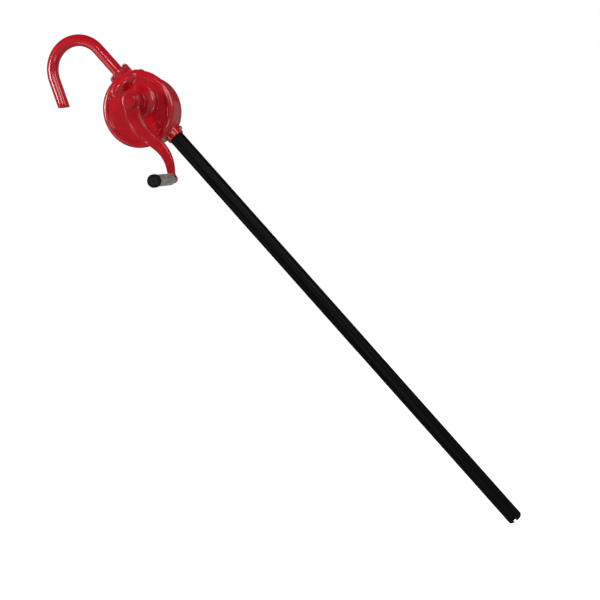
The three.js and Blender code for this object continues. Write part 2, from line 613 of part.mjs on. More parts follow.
/** A vane standing up from the shaft's axis, its tip rounded along its width. */
function vane() {
  const halfWidth = REAR_Y - 2 * ROTOR_SIDE_CLEARANCE;
  const tipR = ROTOR_R + VANE_PROTRUSION;
  const shape = new THREE.Shape();
  shape.moveTo(-VANE_THICKNESS / 2, tipR - VANE_LENGTH);
  shape.lineTo(VANE_THICKNESS / 2, tipR - VANE_LENGTH);
  shape.lineTo(VANE_THICKNESS / 2, tipR - VANE_THICKNESS / 2);
  shape.absarc(0, tipR - VANE_THICKNESS / 2, VANE_THICKNESS / 2, 0, Math.PI);
  const geometry = new THREE.ExtrudeGeometry(shape, {
    depth: 2 * halfWidth, bevelEnabled: false, curveSegments: ROUND_STEPS,
  });
  geometry.rotateX(Math.PI / 2);
  geometry.translate(0, halfWidth, 0);
  return solid(geometry);
}

/** A helix about Z, for the coil of a vane spring. */
class Helix extends THREE.Curve {
  getPoint(t, target = new THREE.Vector3()) {
    const angle = 2 * Math.PI * SPRING_TURNS * t;
    const z = SPRING_WIRE_R + (SPRING_LENGTH - 2 * SPRING_WIRE_R) * t;
    return target.set(SPRING_COIL_R * Math.cos(angle), SPRING_COIL_R * Math.sin(angle), z);
  }
}

function vaneSpring() {
  const section = new THREE.Shape();
  section.absarc(0, 0, SPRING_WIRE_R, 0, 2 * Math.PI);
  return solid(new THREE.ExtrudeGeometry(section, {
    steps: SPRING_TURNS * SPRING_STEPS,
    extrudePath: new Helix(),
    curveSegments: 2,
  }));
}

addPart(shaftGroup, 'shaft', 'steel', shaft());
addPart(shaftGroup, 'rotor', 'cast_iron', rotor());
addPart(shaftGroup, 'rotor_pin', 'steel',
  sideways(disc(ROTOR_PIN_R, -ROTOR_PIN_REACH, ROTOR_PIN_REACH, COARSE)));
[['upper', 0], ['lower', 180]].forEach(([side, turn]) => {
  addPart(shaftGroup, `${side}_vane`, 'steel', vane().rotate([0, turn, 0]));
  [-1, 1].forEach((end, i) => addPart(shaftGroup, `${side}_vane_spring_${i + 1}`, 'steel',
    vaneSpring().translate([0, (end * SPRING_SPACING) / 2, SPRING_BASE_R]).rotate([0, turn, 0])));
});

// ---- Crank --------------------------------------------------------------------------------

const crankGroup = new THREE.Group();
crankGroup.position.set(SHAFT_X, 0, SHAFT_Z);
crankGroup.rotation.y = CRANK_LEAN;
pump.add(crankGroup);

/** Centre of the arm at a distance s down from the shaft, in the crank's own upright frame. */
function armCentre(s) {
  return new THREE.Vector2(-ARM_BEND * Math.sin((2 * Math.PI * s) / CRANK_THROW), -s);
}

function armOutline() {
  const left = [];
  const right = [];
  for (let i = 0; i <= ARM_STEPS; i += 1) {
    const part = i / ARM_STEPS;
    const s = CRANK_THROW * part;
    const centre = armCentre(s);
    const along = armCentre(s + 1).sub(armCentre(s - 1)).normalize();
    const halfWidth = THREE.MathUtils.lerp(ARM_ROOT_WIDTH, ARM_TIP_WIDTH, part ** ARM_TAPER) / 2;
    left.push(new THREE.Vector2(centre.x + along.y * halfWidth, centre.y - along.x * halfWidth));
    right.push(new THREE.Vector2(centre.x - along.y * halfWidth, centre.y + along.x * halfWidth));
  }
  return new THREE.Shape([...left, ...right.reverse()]);
}

function setScrewAxis(body) {
  return sideways(body).rotate([0, -THREE.MathUtils.radToDeg(SET_SCREW_ANGLE + CRANK_LEAN), 0]);
}

const setScrewY = ARM_FRONT_Y - HUB_NOSE / 2;

function crankArm() {
  const armGeometry = new THREE.ExtrudeGeometry(armOutline(), { depth: ARM_THICKNESS, bevelEnabled: false });
  armGeometry.rotateX(Math.PI / 2);
  armGeometry.translate(0, ARM_REAR_Y, 0);
  const hub = turned([
    [0, HUB_END_Y],
    [HUB_NOSE_R - HUB_NOSE_EDGE, HUB_END_Y],
    [HUB_NOSE_R, HUB_END_Y + HUB_NOSE_EDGE],
    [HUB_NOSE_R, ARM_FRONT_Y],
    [HUB_R - SMALL_EDGE, ARM_FRONT_Y],
    [HUB_R, ARM_FRONT_Y + SMALL_EDGE],
    [HUB_R, HUB_REAR_Y],
    [0, HUB_REAR_Y],
  ]);
  const eye = disc(EYE_R, ARM_FRONT_Y, ARM_REAR_Y, COARSE).translate([0, 0, -CRANK_THROW]);
  const shaftBore = disc(SHAFT_DRIVE_R + FIT_GAP, HUB_END_Y + HUB_END_WALL, HUB_REAR_Y + CUT_MARGIN);
  const pinBore = disc(GRIP_PIN_R + FIT_GAP, ARM_FRONT_Y - CUT_MARGIN, ARM_REAR_Y + CUT_MARGIN, COARSE)
    .translate([0, 0, -CRANK_THROW]);
  const screwBore = setScrewAxis(disc(SET_SCREW_R + FIT_GAP, SHAFT_DRIVE_R, HUB_NOSE_R + CUT_MARGIN, COARSE))
    .translate([0, setScrewY, 0]);
  return joined([solid(armGeometry), hub, eye]).subtract(joined([shaftBore, pinBore, screwBore]));
}

addPart(crankGroup, 'crank_arm', 'crank_paint', crankArm());
addPart(crankGroup, 'crank_set_screw', 'steel',
  setScrewAxis(disc(SET_SCREW_R, SHAFT_DRIVE_R + FIT_GAP, HUB_NOSE_R - SET_SCREW_SINK, COARSE)),
  [0, setScrewY, 0]);

// ---- Turning grip -------------------------------------------------------------------------------

const gripGroup = new THREE.Group();
gripGroup.position.set(0, 0, -CRANK_THROW);
crankGroup.add(gripGroup);

const gripBushFrontY = GRIP_END_Y + GRIP_PIN_HEAD + 3 * FIT_GAP;
const gripNutY = ARM_REAR_Y + FIT_GAP;

function gripPin() {
  const headY = gripBushFrontY - FIT_GAP;
  const tailY = gripNutY + GRIP_NUT_HEIGHT + GRIP_PIN_TAIL;
  return joined([
    disc(GRIP_PIN_R, headY - GRIP_PIN_HEAD / 2, tailY, COARSE),
    disc(GRIP_PIN_HEAD_R, headY - GRIP_PIN_HEAD, headY, COARSE),
  ]);
}

function gripNut() {
  const endY = gripNutY + GRIP_NUT_HEIGHT;
  return hexagon(GRIP_NUT_ACROSS_FLATS, gripNutY, endY)
    .subtract(disc(GRIP_PIN_R + FIT_GAP, gripNutY - CUT_MARGIN, endY + CUT_MARGIN, COARSE));
}

function gripEndCap() {
  const innerR = GRIP_R + FIT_GAP;
  const outerR = innerR + GRIP_CAP_WALL;
  const closedY = GRIP_END_Y - FIT_GAP;
  return turned([
    [0, closedY - GRIP_CAP_END],
    ...arc(outerR - GRIP_CAP_EDGE, closedY - GRIP_CAP_END + GRIP_CAP_EDGE, GRIP_CAP_EDGE, GRIP_CAP_EDGE,
      -Math.PI / 2, 0, 2),
    [outerR, closedY + GRIP_CAP_SKIRT],
    [innerR, closedY + GRIP_CAP_SKIRT],
    [innerR, closedY],
    [0, closedY],
  ]);
}

function gripBush(y) {
  return ring(GRIP_PIN_R + 2 * RUNNING_GAP, GRIP_INNER_R - FIT_GAP, y, y + GRIP_BUSH_LENGTH);
}

addPart(gripGroup, 'grip_pin', 'steel', gripPin());
addPart(gripGroup, 'grip_nut', 'zinc', gripNut());
addPart(gripGroup, 'grip_washer', 'zinc', ring(GRIP_PIN_R + FIT_GAP, GRIP_WASHER_R, 0, GRIP_WASHER, COARSE),
  [0, ARM_FRONT_Y - FIT_GAP - GRIP_WASHER, 0]);
addPart(gripGroup, 'grip_sleeve', 'zinc', ring(GRIP_INNER_R, GRIP_R, GRIP_END_Y, GRIP_START_Y));
addPart(gripGroup, 'grip_bush_inner', 'black_plastic', gripBush(GRIP_START_Y - GRIP_BUSH_LENGTH));
addPart(gripGroup, 'grip_bush_outer', 'black_plastic', gripBush(gripBushFrontY));
addPart(gripGroup, 'grip_end_cap', 'black_plastic', gripEndCap());

// ---- Spout and its flange -----------------------------------------------------------------------

function flangeGasket() {
  return earPlate(0, GASKET_THICKNESS).subtract(joined([
    upright(disc(BEAD_SEAT_R, -CUT_MARGIN, GASKET_THICKNESS + CUT_MARGIN)),
    earHoles(FLANGE_BOLT_R + FIT_GAP, -CUT_MARGIN, GASKET_THICKNESS + CUT_MARGIN),
  ]));
}

function spoutFlange() {
  const top = SPOUT_FLANGE_THICKNESS + SPOUT_FLANGE_BOSS;
  const boss = upright(turned([
    [0, SPOUT_FLANGE_THICKNESS / 2],
    [FLANGE_BOSS_R, SPOUT_FLANGE_THICKNESS / 2],
    [FLANGE_BOSS_R, top - SPOUT_FLANGE_EDGE],
    [FLANGE_BOSS_R - SPOUT_FLANGE_EDGE, top],
    [0, top],
  ]));
  return earPlate(0, SPOUT_FLANGE_THICKNESS).add(boss).subtract(joined([
    upright(disc(SPOUT_POCKET_R, -CUT_MARGIN, top + CUT_MARGIN)),
    upright(disc(SEAL_SEAT_R, -CUT_MARGIN, SEAL_HEIGHT + 2 * FIT_GAP)),
    earHoles(FLANGE_BOLT_R + FIT_GAP, -CUT_MARGIN, SPOUT_FLANGE_THICKNESS + CUT_MARGIN),
  ]));
}

/** The tube's centre line: up, round the bend towards -X, and down the leg. It starts at the seat. */
function spoutPath() {
  const bendZ = SPOUT_ENGAGEMENT + SPOUT_RISE;
  const bendPoint = (angle) => new THREE.Vector3(
    -SPOUT_BEND_R + SPOUT_BEND_R * Math.cos(angle), 0, bendZ + SPOUT_BEND_R * Math.sin(angle));
  const legStart = bendPoint(SPOUT_BEND_ANGLE);
  const legWay = new THREE.Vector3(-Math.sin(SPOUT_BEND_ANGLE), 0, Math.cos(SPOUT_BEND_ANGLE));
  const legEnd = legStart.clone().addScaledVector(legWay, SPOUT_LEG + SPOUT_OUTER_R);
  return { bendZ, bendPoint, legStart, legWay, legEnd };
}

/** A round bar that follows the spout's centre line. */
function spoutBar(radius, endRun) {
  const { bendZ, bendPoint, legStart, legWay, legEnd } = spoutPath();
  const stretches = [[new THREE.Vector3(0, 0, -endRun), new THREE.Vector3(0, 0, bendZ)]];
  for (let i = 0; i < BEND_STEPS; i += 1) {
    stretches.push([
      bendPoint((SPOUT_BEND_ANGLE * i) / BEND_STEPS),
      bendPoint((SPOUT_BEND_ANGLE * (i + 1)) / BEND_STEPS),
    ]);
  }
  stretches.push([legStart, legEnd.clone().addScaledVector(legWay, endRun)]);
  const line = new THREE.CurvePath();
  stretches.forEach(([from, to]) => line.add(new THREE.LineCurve3(from, to)));
  const section = new THREE.Shape();
  section.absarc(0, 0, radius, 0, 2 * Math.PI);
  return solid(new THREE.ExtrudeGeometry(section, {
    steps: SPOUT_STEPS, extrudePath: line, curveSegments: SPOUT_FACETS / 2,
  }));
}

function spoutTube() {
  const { legStart, legWay } = spoutPath();
  const bead = upright(disc(SPOUT_OUTER_R + SPOUT_BEAD, 0, SPOUT_BEAD_HEIGHT))
    .translate([0, 0, SPOUT_ENGAGEMENT - SPOUT_BEAD_HEIGHT - FIT_GAP]);
  const mouth = legStart.clone().addScaledVector(legWay, SPOUT_LEG);
  const cutterR = 4 * SPOUT_OUTER_R;
  const cutTurn = THREE.MathUtils.radToDeg(Math.PI - SPOUT_BEND_ANGLE + SPOUT_MOUTH_SLANT);
  const cutter = block(-cutterR, cutterR, -cutterR, cutterR, -cutterR, 0)
    .rotate([0, cutTurn, 0])
    .translate([mouth.x, mouth.y, mouth.z]);
  const bore = spoutBar(SPOUT_OUTER_R - SPOUT_WALL, CUT_MARGIN);
  return spoutBar(SPOUT_OUTER_R, 0).add(bead).subtract(bore).subtract(cutter);
}

addPart(pump, 'flange_gasket', 'gasket', flangeGasket(), [0, 0, NECK_TOP_Z + FIT_GAP]);
addPart(pump, 'spout_flange', 'red_paint', spoutFlange(), [0, 0, FLANGE_BASE_Z]);
addPart(pump, 'spout_seal', 'seal_rubber',
  upright(ring(SPOUT_POCKET_R, SPOUT_POCKET_R + SEAL_WALL, 0, SEAL_HEIGHT)), [0, 0, FLANGE_BASE_Z + FIT_GAP]);
const flangeBoltLength = FLANGE_TOP_Z - NECK_TOP_Z + FLANGE_PAD;
[-1, 1].forEach((side, i) => addPart(pump, `flange_bolt_${i + 1}`, 'zinc',
  upright(hexBolt(FLANGE_BOLT_R, flangeBoltLength, FLANGE_BOLT_ACROSS_FLATS, FLANGE_BOLT_HEAD)),
  [side * FLANGE_BOLT_OFFSET, 0, FLANGE_TOP_Z + FIT_GAP]));
addPart(pump, 'spout_tube', 'red_paint', spoutTube(), [0, 0, SPOUT_SEAT_Z]);

export default pump;
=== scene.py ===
import math

import bpy
import numpy as np
from mathutils import Euler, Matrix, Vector


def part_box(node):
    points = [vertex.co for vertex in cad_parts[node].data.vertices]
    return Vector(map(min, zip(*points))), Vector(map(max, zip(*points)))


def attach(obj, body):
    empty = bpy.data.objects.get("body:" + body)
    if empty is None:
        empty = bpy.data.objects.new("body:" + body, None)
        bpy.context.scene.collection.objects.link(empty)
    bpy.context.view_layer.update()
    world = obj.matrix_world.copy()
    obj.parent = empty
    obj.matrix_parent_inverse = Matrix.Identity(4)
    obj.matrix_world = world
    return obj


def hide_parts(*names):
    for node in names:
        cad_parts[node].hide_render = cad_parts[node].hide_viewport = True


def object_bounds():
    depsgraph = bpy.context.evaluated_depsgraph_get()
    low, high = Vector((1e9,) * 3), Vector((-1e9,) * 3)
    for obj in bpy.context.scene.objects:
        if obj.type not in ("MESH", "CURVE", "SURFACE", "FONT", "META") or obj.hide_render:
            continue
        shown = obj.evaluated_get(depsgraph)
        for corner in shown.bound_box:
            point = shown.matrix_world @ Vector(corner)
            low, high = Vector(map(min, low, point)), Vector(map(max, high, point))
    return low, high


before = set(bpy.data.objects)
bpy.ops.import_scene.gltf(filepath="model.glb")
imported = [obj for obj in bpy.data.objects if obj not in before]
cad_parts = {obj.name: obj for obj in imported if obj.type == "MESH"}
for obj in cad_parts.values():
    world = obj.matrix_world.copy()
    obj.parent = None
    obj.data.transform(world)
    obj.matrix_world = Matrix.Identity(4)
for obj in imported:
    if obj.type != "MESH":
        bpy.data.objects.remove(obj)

cad_low, cad_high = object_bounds()

MM = 0.001


# ---- Camera, floor and light ----------------------------------------------------------------------

CAMERA_PLACE = Vector((0.5738, -2.0347, -0.5410))
CAMERA_ANGLES = (93.815, 41.551, 19.188)  # degrees, XYZ order
CAMERA_LENS = 60.0  # millimetres, on a 36 mm sensor
SENSOR_WIDTH = 36.0

FLOOR_HALF = 30.0
FLOOR_DROP = 0.35  # the pump hangs by its pipe, clear of the floor

WORLD_TO_CAMERA = 1.0
WORLD_TO_MATT = 0.62
WORLD_TO_GLOSS = 0.05


def make_camera():
    data = bpy.data.cameras.new("camera")
    data.lens = CAMERA_LENS
    data.sensor_width = SENSOR_WIDTH
    camera = bpy.data.objects.new("camera", data)
    camera.location = CAMERA_PLACE
    camera.rotation_euler = Euler([math.radians(angle) for angle in CAMERA_ANGLES], "XYZ")
    bpy.context.scene.collection.objects.link(camera)
    bpy.context.scene.camera = camera


def make_floor():
    z = cad_low[2] - FLOOR_DROP
    corners = [(x * FLOOR_HALF, y * FLOOR_HALF, z) for x, y in ((-1, -1), (1, -1), (1, 1), (-1, 1))]
    mesh = bpy.data.meshes.new("studio_floor")
    mesh.from_pydata(corners, [], [(0, 1, 2, 3)])
    floor = bpy.data.objects.new("studio_floor", mesh)
    bpy.context.scene.collection.objects.link(floor)
    mesh.materials.append(pale_floor_paint())


def pale_floor_paint():
    """A pale sweep that shows evenly white to the camera and throws no glare back on to the pump."""
    material = bpy.data.materials.new("pale_floor")
    material.use_nodes = True
    tree = material.node_tree
    shader = tree.nodes["Principled BSDF"]
    shader.inputs["Base Color"].default_value = (0.5, 0.5, 0.5, 1)
    shader.inputs["Roughness"].default_value = 1.0
    shader.inputs["Specular IOR Level"].default_value = 0.0
    shader.inputs["Emission Color"].default_value = (1, 1, 1, 1)
    path = tree.nodes.new("ShaderNodeLightPath")
    tree.links.new(path.outputs["Is Camera Ray"], shader.inputs["Emission Strength"])
    return material


def make_softbox(name, place, target, size, power, shows_in="both"):
    """An area light in metres and watts that shows in "gloss", on "matt" surfaces, or in both."""
    data = bpy.data.lights.new(name, "AREA")
    data.shape = "RECTANGLE"
    data.size, data.size_y = size
    data.energy = power
    light = bpy.data.objects.new(name, data)
    light.location = place
    light.rotation_euler = (Vector(target) - Vector(place)).to_track_quat("-Z", "Y").to_euler()
    light.visible_diffuse = shows_in != "gloss"
    light.visible_glossy = shows_in != "matt"
    bpy.context.scene.collection.objects.link(light)


def make_world():
    """White to the eye, soft on matt surfaces and dim in reflections, so the softboxes shape the pump."""
    world = bpy.data.worlds.new("studio")
    world.use_nodes = True
    tree = world.node_tree
    background = tree.nodes["Background"]
    background.inputs["Color"].default_value = (1, 1, 1, 1)
    path = tree.nodes.new("ShaderNodeLightPath")
    matt = tree.nodes.new("ShaderNodeMapRange")
    matt.inputs["To Min"].default_value = WORLD_TO_GLOSS
    matt.inputs["To Max"].default_value = WORLD_TO_MATT
    strength = tree.nodes.new("ShaderNodeMapRange")
    strength.inputs["To Max"].default_value = WORLD_TO_CAMERA
    tree.links.new(path.outputs["Is Diffuse Ray"], matt.inputs["Value"])
    tree.links.new(matt.outputs["Result"], strength.inputs["To Min"])
    tree.links.new(path.outputs["Is Camera Ray"], strength.inputs["Value"])
    tree.links.new(strength.outputs["Result"], background.inputs["Strength"])
    bpy.context.scene.world = world


def make_studio():
    make_world()
    casing = (0.0, 0.0, 0.1)
    spout = (-0.12, 0.0, 0.28)
    pipe = (0.0, 0.0, -0.6)
    make_softbox("key_softbox", (-1.0, -1.3, 1.2), casing, (0.45, 0.45), 21)
    make_softbox("right_fill", (1.5, -0.8, 0.2), casing, (0.6, 1.0), 10, "matt")
    make_softbox("right_reflector", (1.25, -0.5, -0.1), casing, (0.35, 1.1), 7, "gloss")
    make_softbox("small_reflector", (0.75, -1.5, 0.8), casing, (0.14, 0.14), 2, "gloss")
    make_softbox("spout_reflector", (0.8, -1.77, 0.32), spout, (1.1, 0.4), 9, "gloss")
    make_softbox("left_reflector", (-1.5, -0.75, 0.45), casing, (0.5, 1.0), 4, "gloss")
    make_softbox("pipe_reflector", (0.1, -1.5, -0.75), pipe, (0.3, 0.3), 3, "gloss")
    make_softbox("back_softbox", (-1.6, 1.3, 0.9), casing, (0.9, 0.9), 18, "matt")
    bpy.context.scene.view_settings.view_transform = "Standard"
    bpy.context.scene.view_settings.look = "None"


make_camera()
make_floor()
make_studio()


# ---- Sizes in millimetres, from the frame ------------------------------------------------------------

def side(node, axis, end):
    """One side of a CAD node's box: axis 0, 1 or 2 for X, Y or Z, end 0 for its low side, 1 for its high."""
    return float(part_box(node)[end][axis]) / MM


def middle(node, axis):
    return (side(node, axis, 0) + side(node, axis, 1)) / 2


def breadth(node, axis):
    return side(node, axis, 1) - side(node, axis, 0)


FIT_GAP = 0.3

PIPE_R = breadth("suction_pipe", 0) / 2
PIPE_WALL = 2
PIPE_BORE_R = PIPE_R - PIPE_WALL
PIPE_TOP_Z = side("suction_pipe", 2, 1)
PIPE_FOOT_Z = side("suction_pipe", 2, 0)
STRAINER_FOOT_Z = side("foot_strainer", 2, 0)

RIM_R = breadth("pump_body", 0) / 2
RIM_X = middle("pump_body", 0)
RIM_THICKNESS = 10
DRUM_R = breadth("rear_cover", 0) / 2
DRUM_X = middle("rear_cover", 0)
DRUM_Z = middle("rear_cover", 2)
RIM_RISE = 5.5  # the rim's centre above the drum's
RIM_Z = DRUM_Z + RIM_RISE
SHAFT_X = middle("shaft", 0)
SHAFT_Z = middle("shaft", 2)
SHAFT_R = breadth("shaft", 0) / 2
REAR_Y = side("cover_gasket", 1, 0) - FIT_GAP
FRONT_WALL = 12
FACE_Y = -REAR_Y - FRONT_WALL  # the rim's front plane
FACE_RECESS = 3
CHAMBER_R = 50
CHAMBER_SHIFT = 6
CHAMBER_DROP = 3.5
CHAMBER_X = SHAFT_X - CHAMBER_SHIFT
CHAMBER_Z = SHAFT_Z - CHAMBER_DROP
CHAMBER_FLOOR_Y = -18
BUSH_SEAT_R = SHAFT_R + 4.4
BUSH_SEAT_DEPTH = 15  # in the rear cover
BOSS_END_Y = side("pump_body", 1, 0)
BOSS_R = 22
NECK_R = side("pump_body", 1, 1)
NECK_TOP_Z = side("pump_body", 2, 1)
NECK_FOOT_Z = side("pump_body", 2, 0)
EAR_PLATE = 9
EAR_R = 6.5
BOLT_X = middle("flange_bolt_2", 0)
BOLT_HOLE_R = 2.8
SCREW_CIRCLE_R = middle("cover_screw_1", 0) - DRUM_X
SCREW_COUNT = 6
SCREW_HOLE_R = 3.3
LOCK_Z = middle("pipe_lock_screw", 2)
PIN_BORE_R = 5.3  # of the crank's eye, the nut and the washer on the grip's pin
HOOD_R = 44
PORT_R = 11
SPOUT_R = 12.5
SPOUT_POCKET_R = SPOUT_R + FIT_GAP
SPOUT_SEAT_Z = side("spout_tube", 2, 0)

CRANK_LEAN = math.atan2(-middle("grip_sleeve", 0), SHAFT_Z - middle("grip_sleeve", 2))
CRANK_THROW = math.hypot(middle("grip_sleeve", 0), SHAFT_Z - middle("grip_sleeve", 2))
ARM_FRONT_Y = side("grip_washer", 1, 1) + FIT_GAP
ARM_REAR_Y = side("grip_nut", 1, 0) - FIT_GAP
HUB_REAR_Y = side("crank_arm", 1, 1)
HUB_END_Y = side("crank_arm", 1, 0)
GRIP_X = middle("grip_sleeve", 0)
GRIP_Z = middle("grip_sleeve", 2)
GRIP_R = breadth("grip_sleeve", 0) / 2


# ---- Shapes as distance fields, in millimetres --------------------------------------------------------

def blended(a, b, radius):
    """The union of two fields with a fillet between them."""
    near = np.maximum(radius - np.abs(a - b), 0) / radius
    return np.minimum(a, b) - near * near * radius / 4


def carved(a, b, radius):
    """Field a less field b, with the new edge rounded."""
    return -blended(-a, b, radius)


def rod(x, z, y, middle_x, middle_z, radius, low_y, high_y, edge):
    """A round bar along the third coordinate, with rounded edges."""
    out = np.hypot(x - middle_x, z - middle_z) - (radius - edge)
    along = np.abs(y - (low_y + high_y) / 2) - ((high_y - low_y) / 2 - edge)
    return np.minimum(np.maximum(out, along), 0) + np.hypot(np.maximum(out, 0), np.maximum(along, 0)) - edge


def stem(out, along, profile):
    """A turned shape given as (position along its axis, radius) pairs in rising order."""
    places = np.array([pair[0] for pair in profile], float)
    radii = np.array([pair[1] for pair in profile], float)
    slope = np.gradient(radii, places)
    here = np.interp(along, places, radii)
    lean = 1 / np.sqrt(1 + np.interp(along, places, slope) ** 2)
    ends = np.maximum(places[0] - along, along - places[-1])
    return np.maximum((out - here) * lean, ends)


def trumpet(start, end, small, large, steps=12):
    """Radii along a neck that opens out from small to large with a quarter ellipse."""
    profile = []
    for i in range(steps + 1):
        part = i / steps
        opening = 1 - math.sqrt(max(0.0, 1 - part * part))
        profile.append((start + (end - start) * part, small + (large - small) * opening))
    return profile


def screw_places():
    """Centres (x, z) of the rear cover's screws."""
    angles = [2 * math.pi * i / SCREW_COUNT for i in range(SCREW_COUNT)]
    return [(DRUM_X + SCREW_CIRCLE_R * math.cos(a), DRUM_Z + SCREW_CIRCLE_R * math.sin(a)) for a in angles]


def hexagon(x, y, across_flats):
    reach = np.abs(x)
    for angle in (60, 120):
        turn = math.radians(angle)
        reach = np.maximum(reach, np.abs(x * math.cos(turn) + y * math.sin(turn)))
    return reach - across_flats / 2


def surface_of(field, low, high, step):
    """The zero surface of a field as points and outward quads, from a grid of this step."""
    counts = [int(math.ceil((high[k] - low[k]) / step)) + 1 for k in range(3)]
    lines = [low[k] + step * np.arange(counts[k]) for k in range(3)]
    value = field(*np.meshgrid(*lines, indexing="ij"))
    cells = [count - 1 for count in counts]
    total = cells[0] * cells[1] * cells[2]
    sums = np.zeros((total, 3))
    hits = np.zeros(total)
    quads = []
    for axis in range(3):
        u = (axis + 1) % 3
        v = (axis + 2) % 3
        near = np.take(value, range(counts[axis] - 1), axis)
        far = np.take(value, range(1, counts[axis]), axis)
        place = np.argwhere((near < 0) != (far < 0))
        inside = (place[:, u] > 0) & (place[:, v] > 0) & (place[:, u] < cells[u]) & (place[:, v] < cells[v])
        place = place[inside]
        a = near[tuple(place.T)]
        b = far[tuple(place.T)]
        point = place.astype(float)
        point[:, axis] += a / (a - b)
        around = []
        for du, dv in ((0, 0), (1, 0), (1, 1), (0, 1)):
            cell = place.copy()
            cell[:, u] -= du
            cell[:, v] -= dv
            index = (cell[:, 0] * cells[1] + cell[:, 1]) * cells[2] + cell[:, 2]
            around.append(index)
            for k in range(3):
                sums[:, k] += np.bincount(index, point[:, k], total)
            hits += np.bincount(index, minlength=total)
        quad = np.stack(around, 1)
        turned_round = a >= 0
        quad[turned_round] = quad[turned_round][:, ::-1]
        quads.append(quad)
    used = np.nonzero(hits)[0]
    number = np.full(total, -1)
    number[used] = np.arange(len(used))
    points = np.array(low) + step * sums[used] / hits[used, None]
    return settled(field, points, step), number[np.concatenate(quads)]


def settled(field, points, step, rounds=2):
    """The points moved on to the field's zero surface, at most half a step."""
    nudge = step * 0.1
    for _ in range(rounds):
        x, y, z = points.T
        here = field(x, y, z)
        slope = np.stack([
            field(x + nudge, y, z) - field(x - nudge, y, z),
            field(x, y + nudge, z) - field(x, y - nudge, z),
            field(x, y, z + nudge) - field(x, y, z - nudge),
        ], 1) / (2 * nudge)
        steepness = np.maximum((slope * slope).sum(1), 0.25)
        move = -slope * (here / steepness)[:, None]
        length = np.maximum(np.linalg.norm(move, axis=1), 1e-9)
        points = points + move * np.minimum(1, 0.5 * step / length)[:, None]
    return points


# ---- Meshes -------------------------------------------------------------------------------------------

def piece_of(name, shells, body, slot, material, *replaced):
    """One smooth piece from shells of (points in millimetres, faces), riding on a body."""
    points = []
    faces = []
    for shell_points, shell_faces in shells:
        offset = len(points)
        points.extend(map(tuple, np.asarray(shell_points) * MM))
        faces.extend(tuple(int(i) + offset for i in face) for face in shell_faces)
    mesh = bpy.data.meshes.new(name)
    mesh.from_pydata(points, [], faces)
    mesh.polygons.foreach_set("use_smooth", [True] * len(faces))
    mesh.validate()
    mesh.update()
    return placed(name, mesh, body, slot, material, *replaced)


def placed(name, mesh, body, slot, material, *replaced):
    mesh.materials.clear()
    mesh.materials.append(material)
    piece = bpy.data.objects.new(name, mesh)
    bpy.context.scene.collection.objects.link(piece)
    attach(piece, body)
    if replaced:
        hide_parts(*replaced)
    return piece


def wound(profile, segments, place):
    """A closed profile of (radius, along) turned round an axis; place(radius, angle, along) gives a point.

    The profile runs so that the material lies on its left, with radius to the right and along upwards.
    """
    count = len(profile)
    points = []
    for i in range(segments):
        angle = 2 * math.pi * i / segments
        points.extend(place(radius, angle, along) for radius, along in profile)
    faces = []
    for i in range(segments):
        j = (i + 1) % segments
        for k in range(count):
            m = (k + 1) % count
            faces.append((i * count + k, j * count + k, j * count + m, i * count + m))
    return np.array(points), faces


def upright(middle_x, middle_y):
    """Places a turned piece on an axis along +Z."""
    return lambda r, angle, z: (middle_x + r * math.cos(angle), middle_y + r * math.sin(angle), z)


def forward(middle_x, middle_z):
    """Places a turned piece on an axis along +Y."""
    return lambda r, angle, y: (middle_x + r * math.sin(angle), y, middle_z + r * math.cos(angle))


def eased(corners, edge, steps=3):
    """A profile with its corners rounded to the given radius, each corner (radius, along[, its own edge])."""
    result = []
    count = len(corners)
    for i, corner in enumerate(corners):
        here = np.array(corner[:2], float)
        before = np.array(corners[i - 1][:2], float) - here
        after = np.array(corners[(i + 1) % count][:2], float) - here
        reach = corner[2] if len(corner) > 2 else edge
        reach = min(reach, np.linalg.norm(before) / 2.1, np.linalg.norm(after) / 2.1)
        start = here + before / np.linalg.norm(before) * reach
        finish = here + after / np.linalg.norm(after) * reach
        for k in range(steps + 1):
            part = k / steps
            point = (1 - part) ** 2 * start + 2 * part * (1 - part) * here + part ** 2 * finish
            result.append((float(point[0]), float(point[1])))
    return result


def spaced(profile, longest):
    """A profile with its long straight stretches cut into shorter ones."""
    result = []
    for i, (radius, along) in enumerate(profile):
        next_radius, next_along = profile[(i + 1) % len(profile)]
        cuts = max(1, int(math.hypot(next_radius - radius, next_along - along) / longest))
        for k in range(cuts):
            part = k / cuts
            result.append((radius + (next_radius - radius) * part, along + (next_along - along) * part))
    return result


# ---- Pump body ----------------------------------------------------------------------------------------

CAST_STEP = 1.35
BODY_LOW = (-100.0, -53.0, -4.0)
BODY_HIGH = (76.0, 20.0, 183.0)

DRUM_EDGE = 3.0
DRUM_START = 5  # behind the rim's front plane
PAST_CUT = 20  # how far the drum runs past the plane that cuts it off
RIM_EDGE = 1.5
RIM_BEVEL = 6.0
RIM_BEVEL_FILLET = 2.5
RIM_FILLET = 3
FACE_LIP_WIDTH = 15
FACE_LIP_R = RIM_R - FACE_LIP_WIDTH
FACE_LIP_FILLET = 3.5
INLET_FILLET = 6
HOOD_FILLET = 7
EAR_FILLET = 4.0
EAR_TO_HOOD_FILLET = 1.5

NECK_CHAMFER = 1.3
INLET_FLARE_Z = 10
INLET_ROOT_Z = 33
INLET_ROOT_R = 27
INLET_END_Z = 45
INLET_NECK = [(NECK_FOOT_Z, NECK_R - NECK_CHAMFER), (NECK_FOOT_Z + NECK_CHAMFER, NECK_R)]
INLET_NECK += trumpet(INLET_FLARE_Z, INLET_ROOT_Z, NECK_R, INLET_ROOT_R) + [(INLET_END_Z, INLET_ROOT_R)]

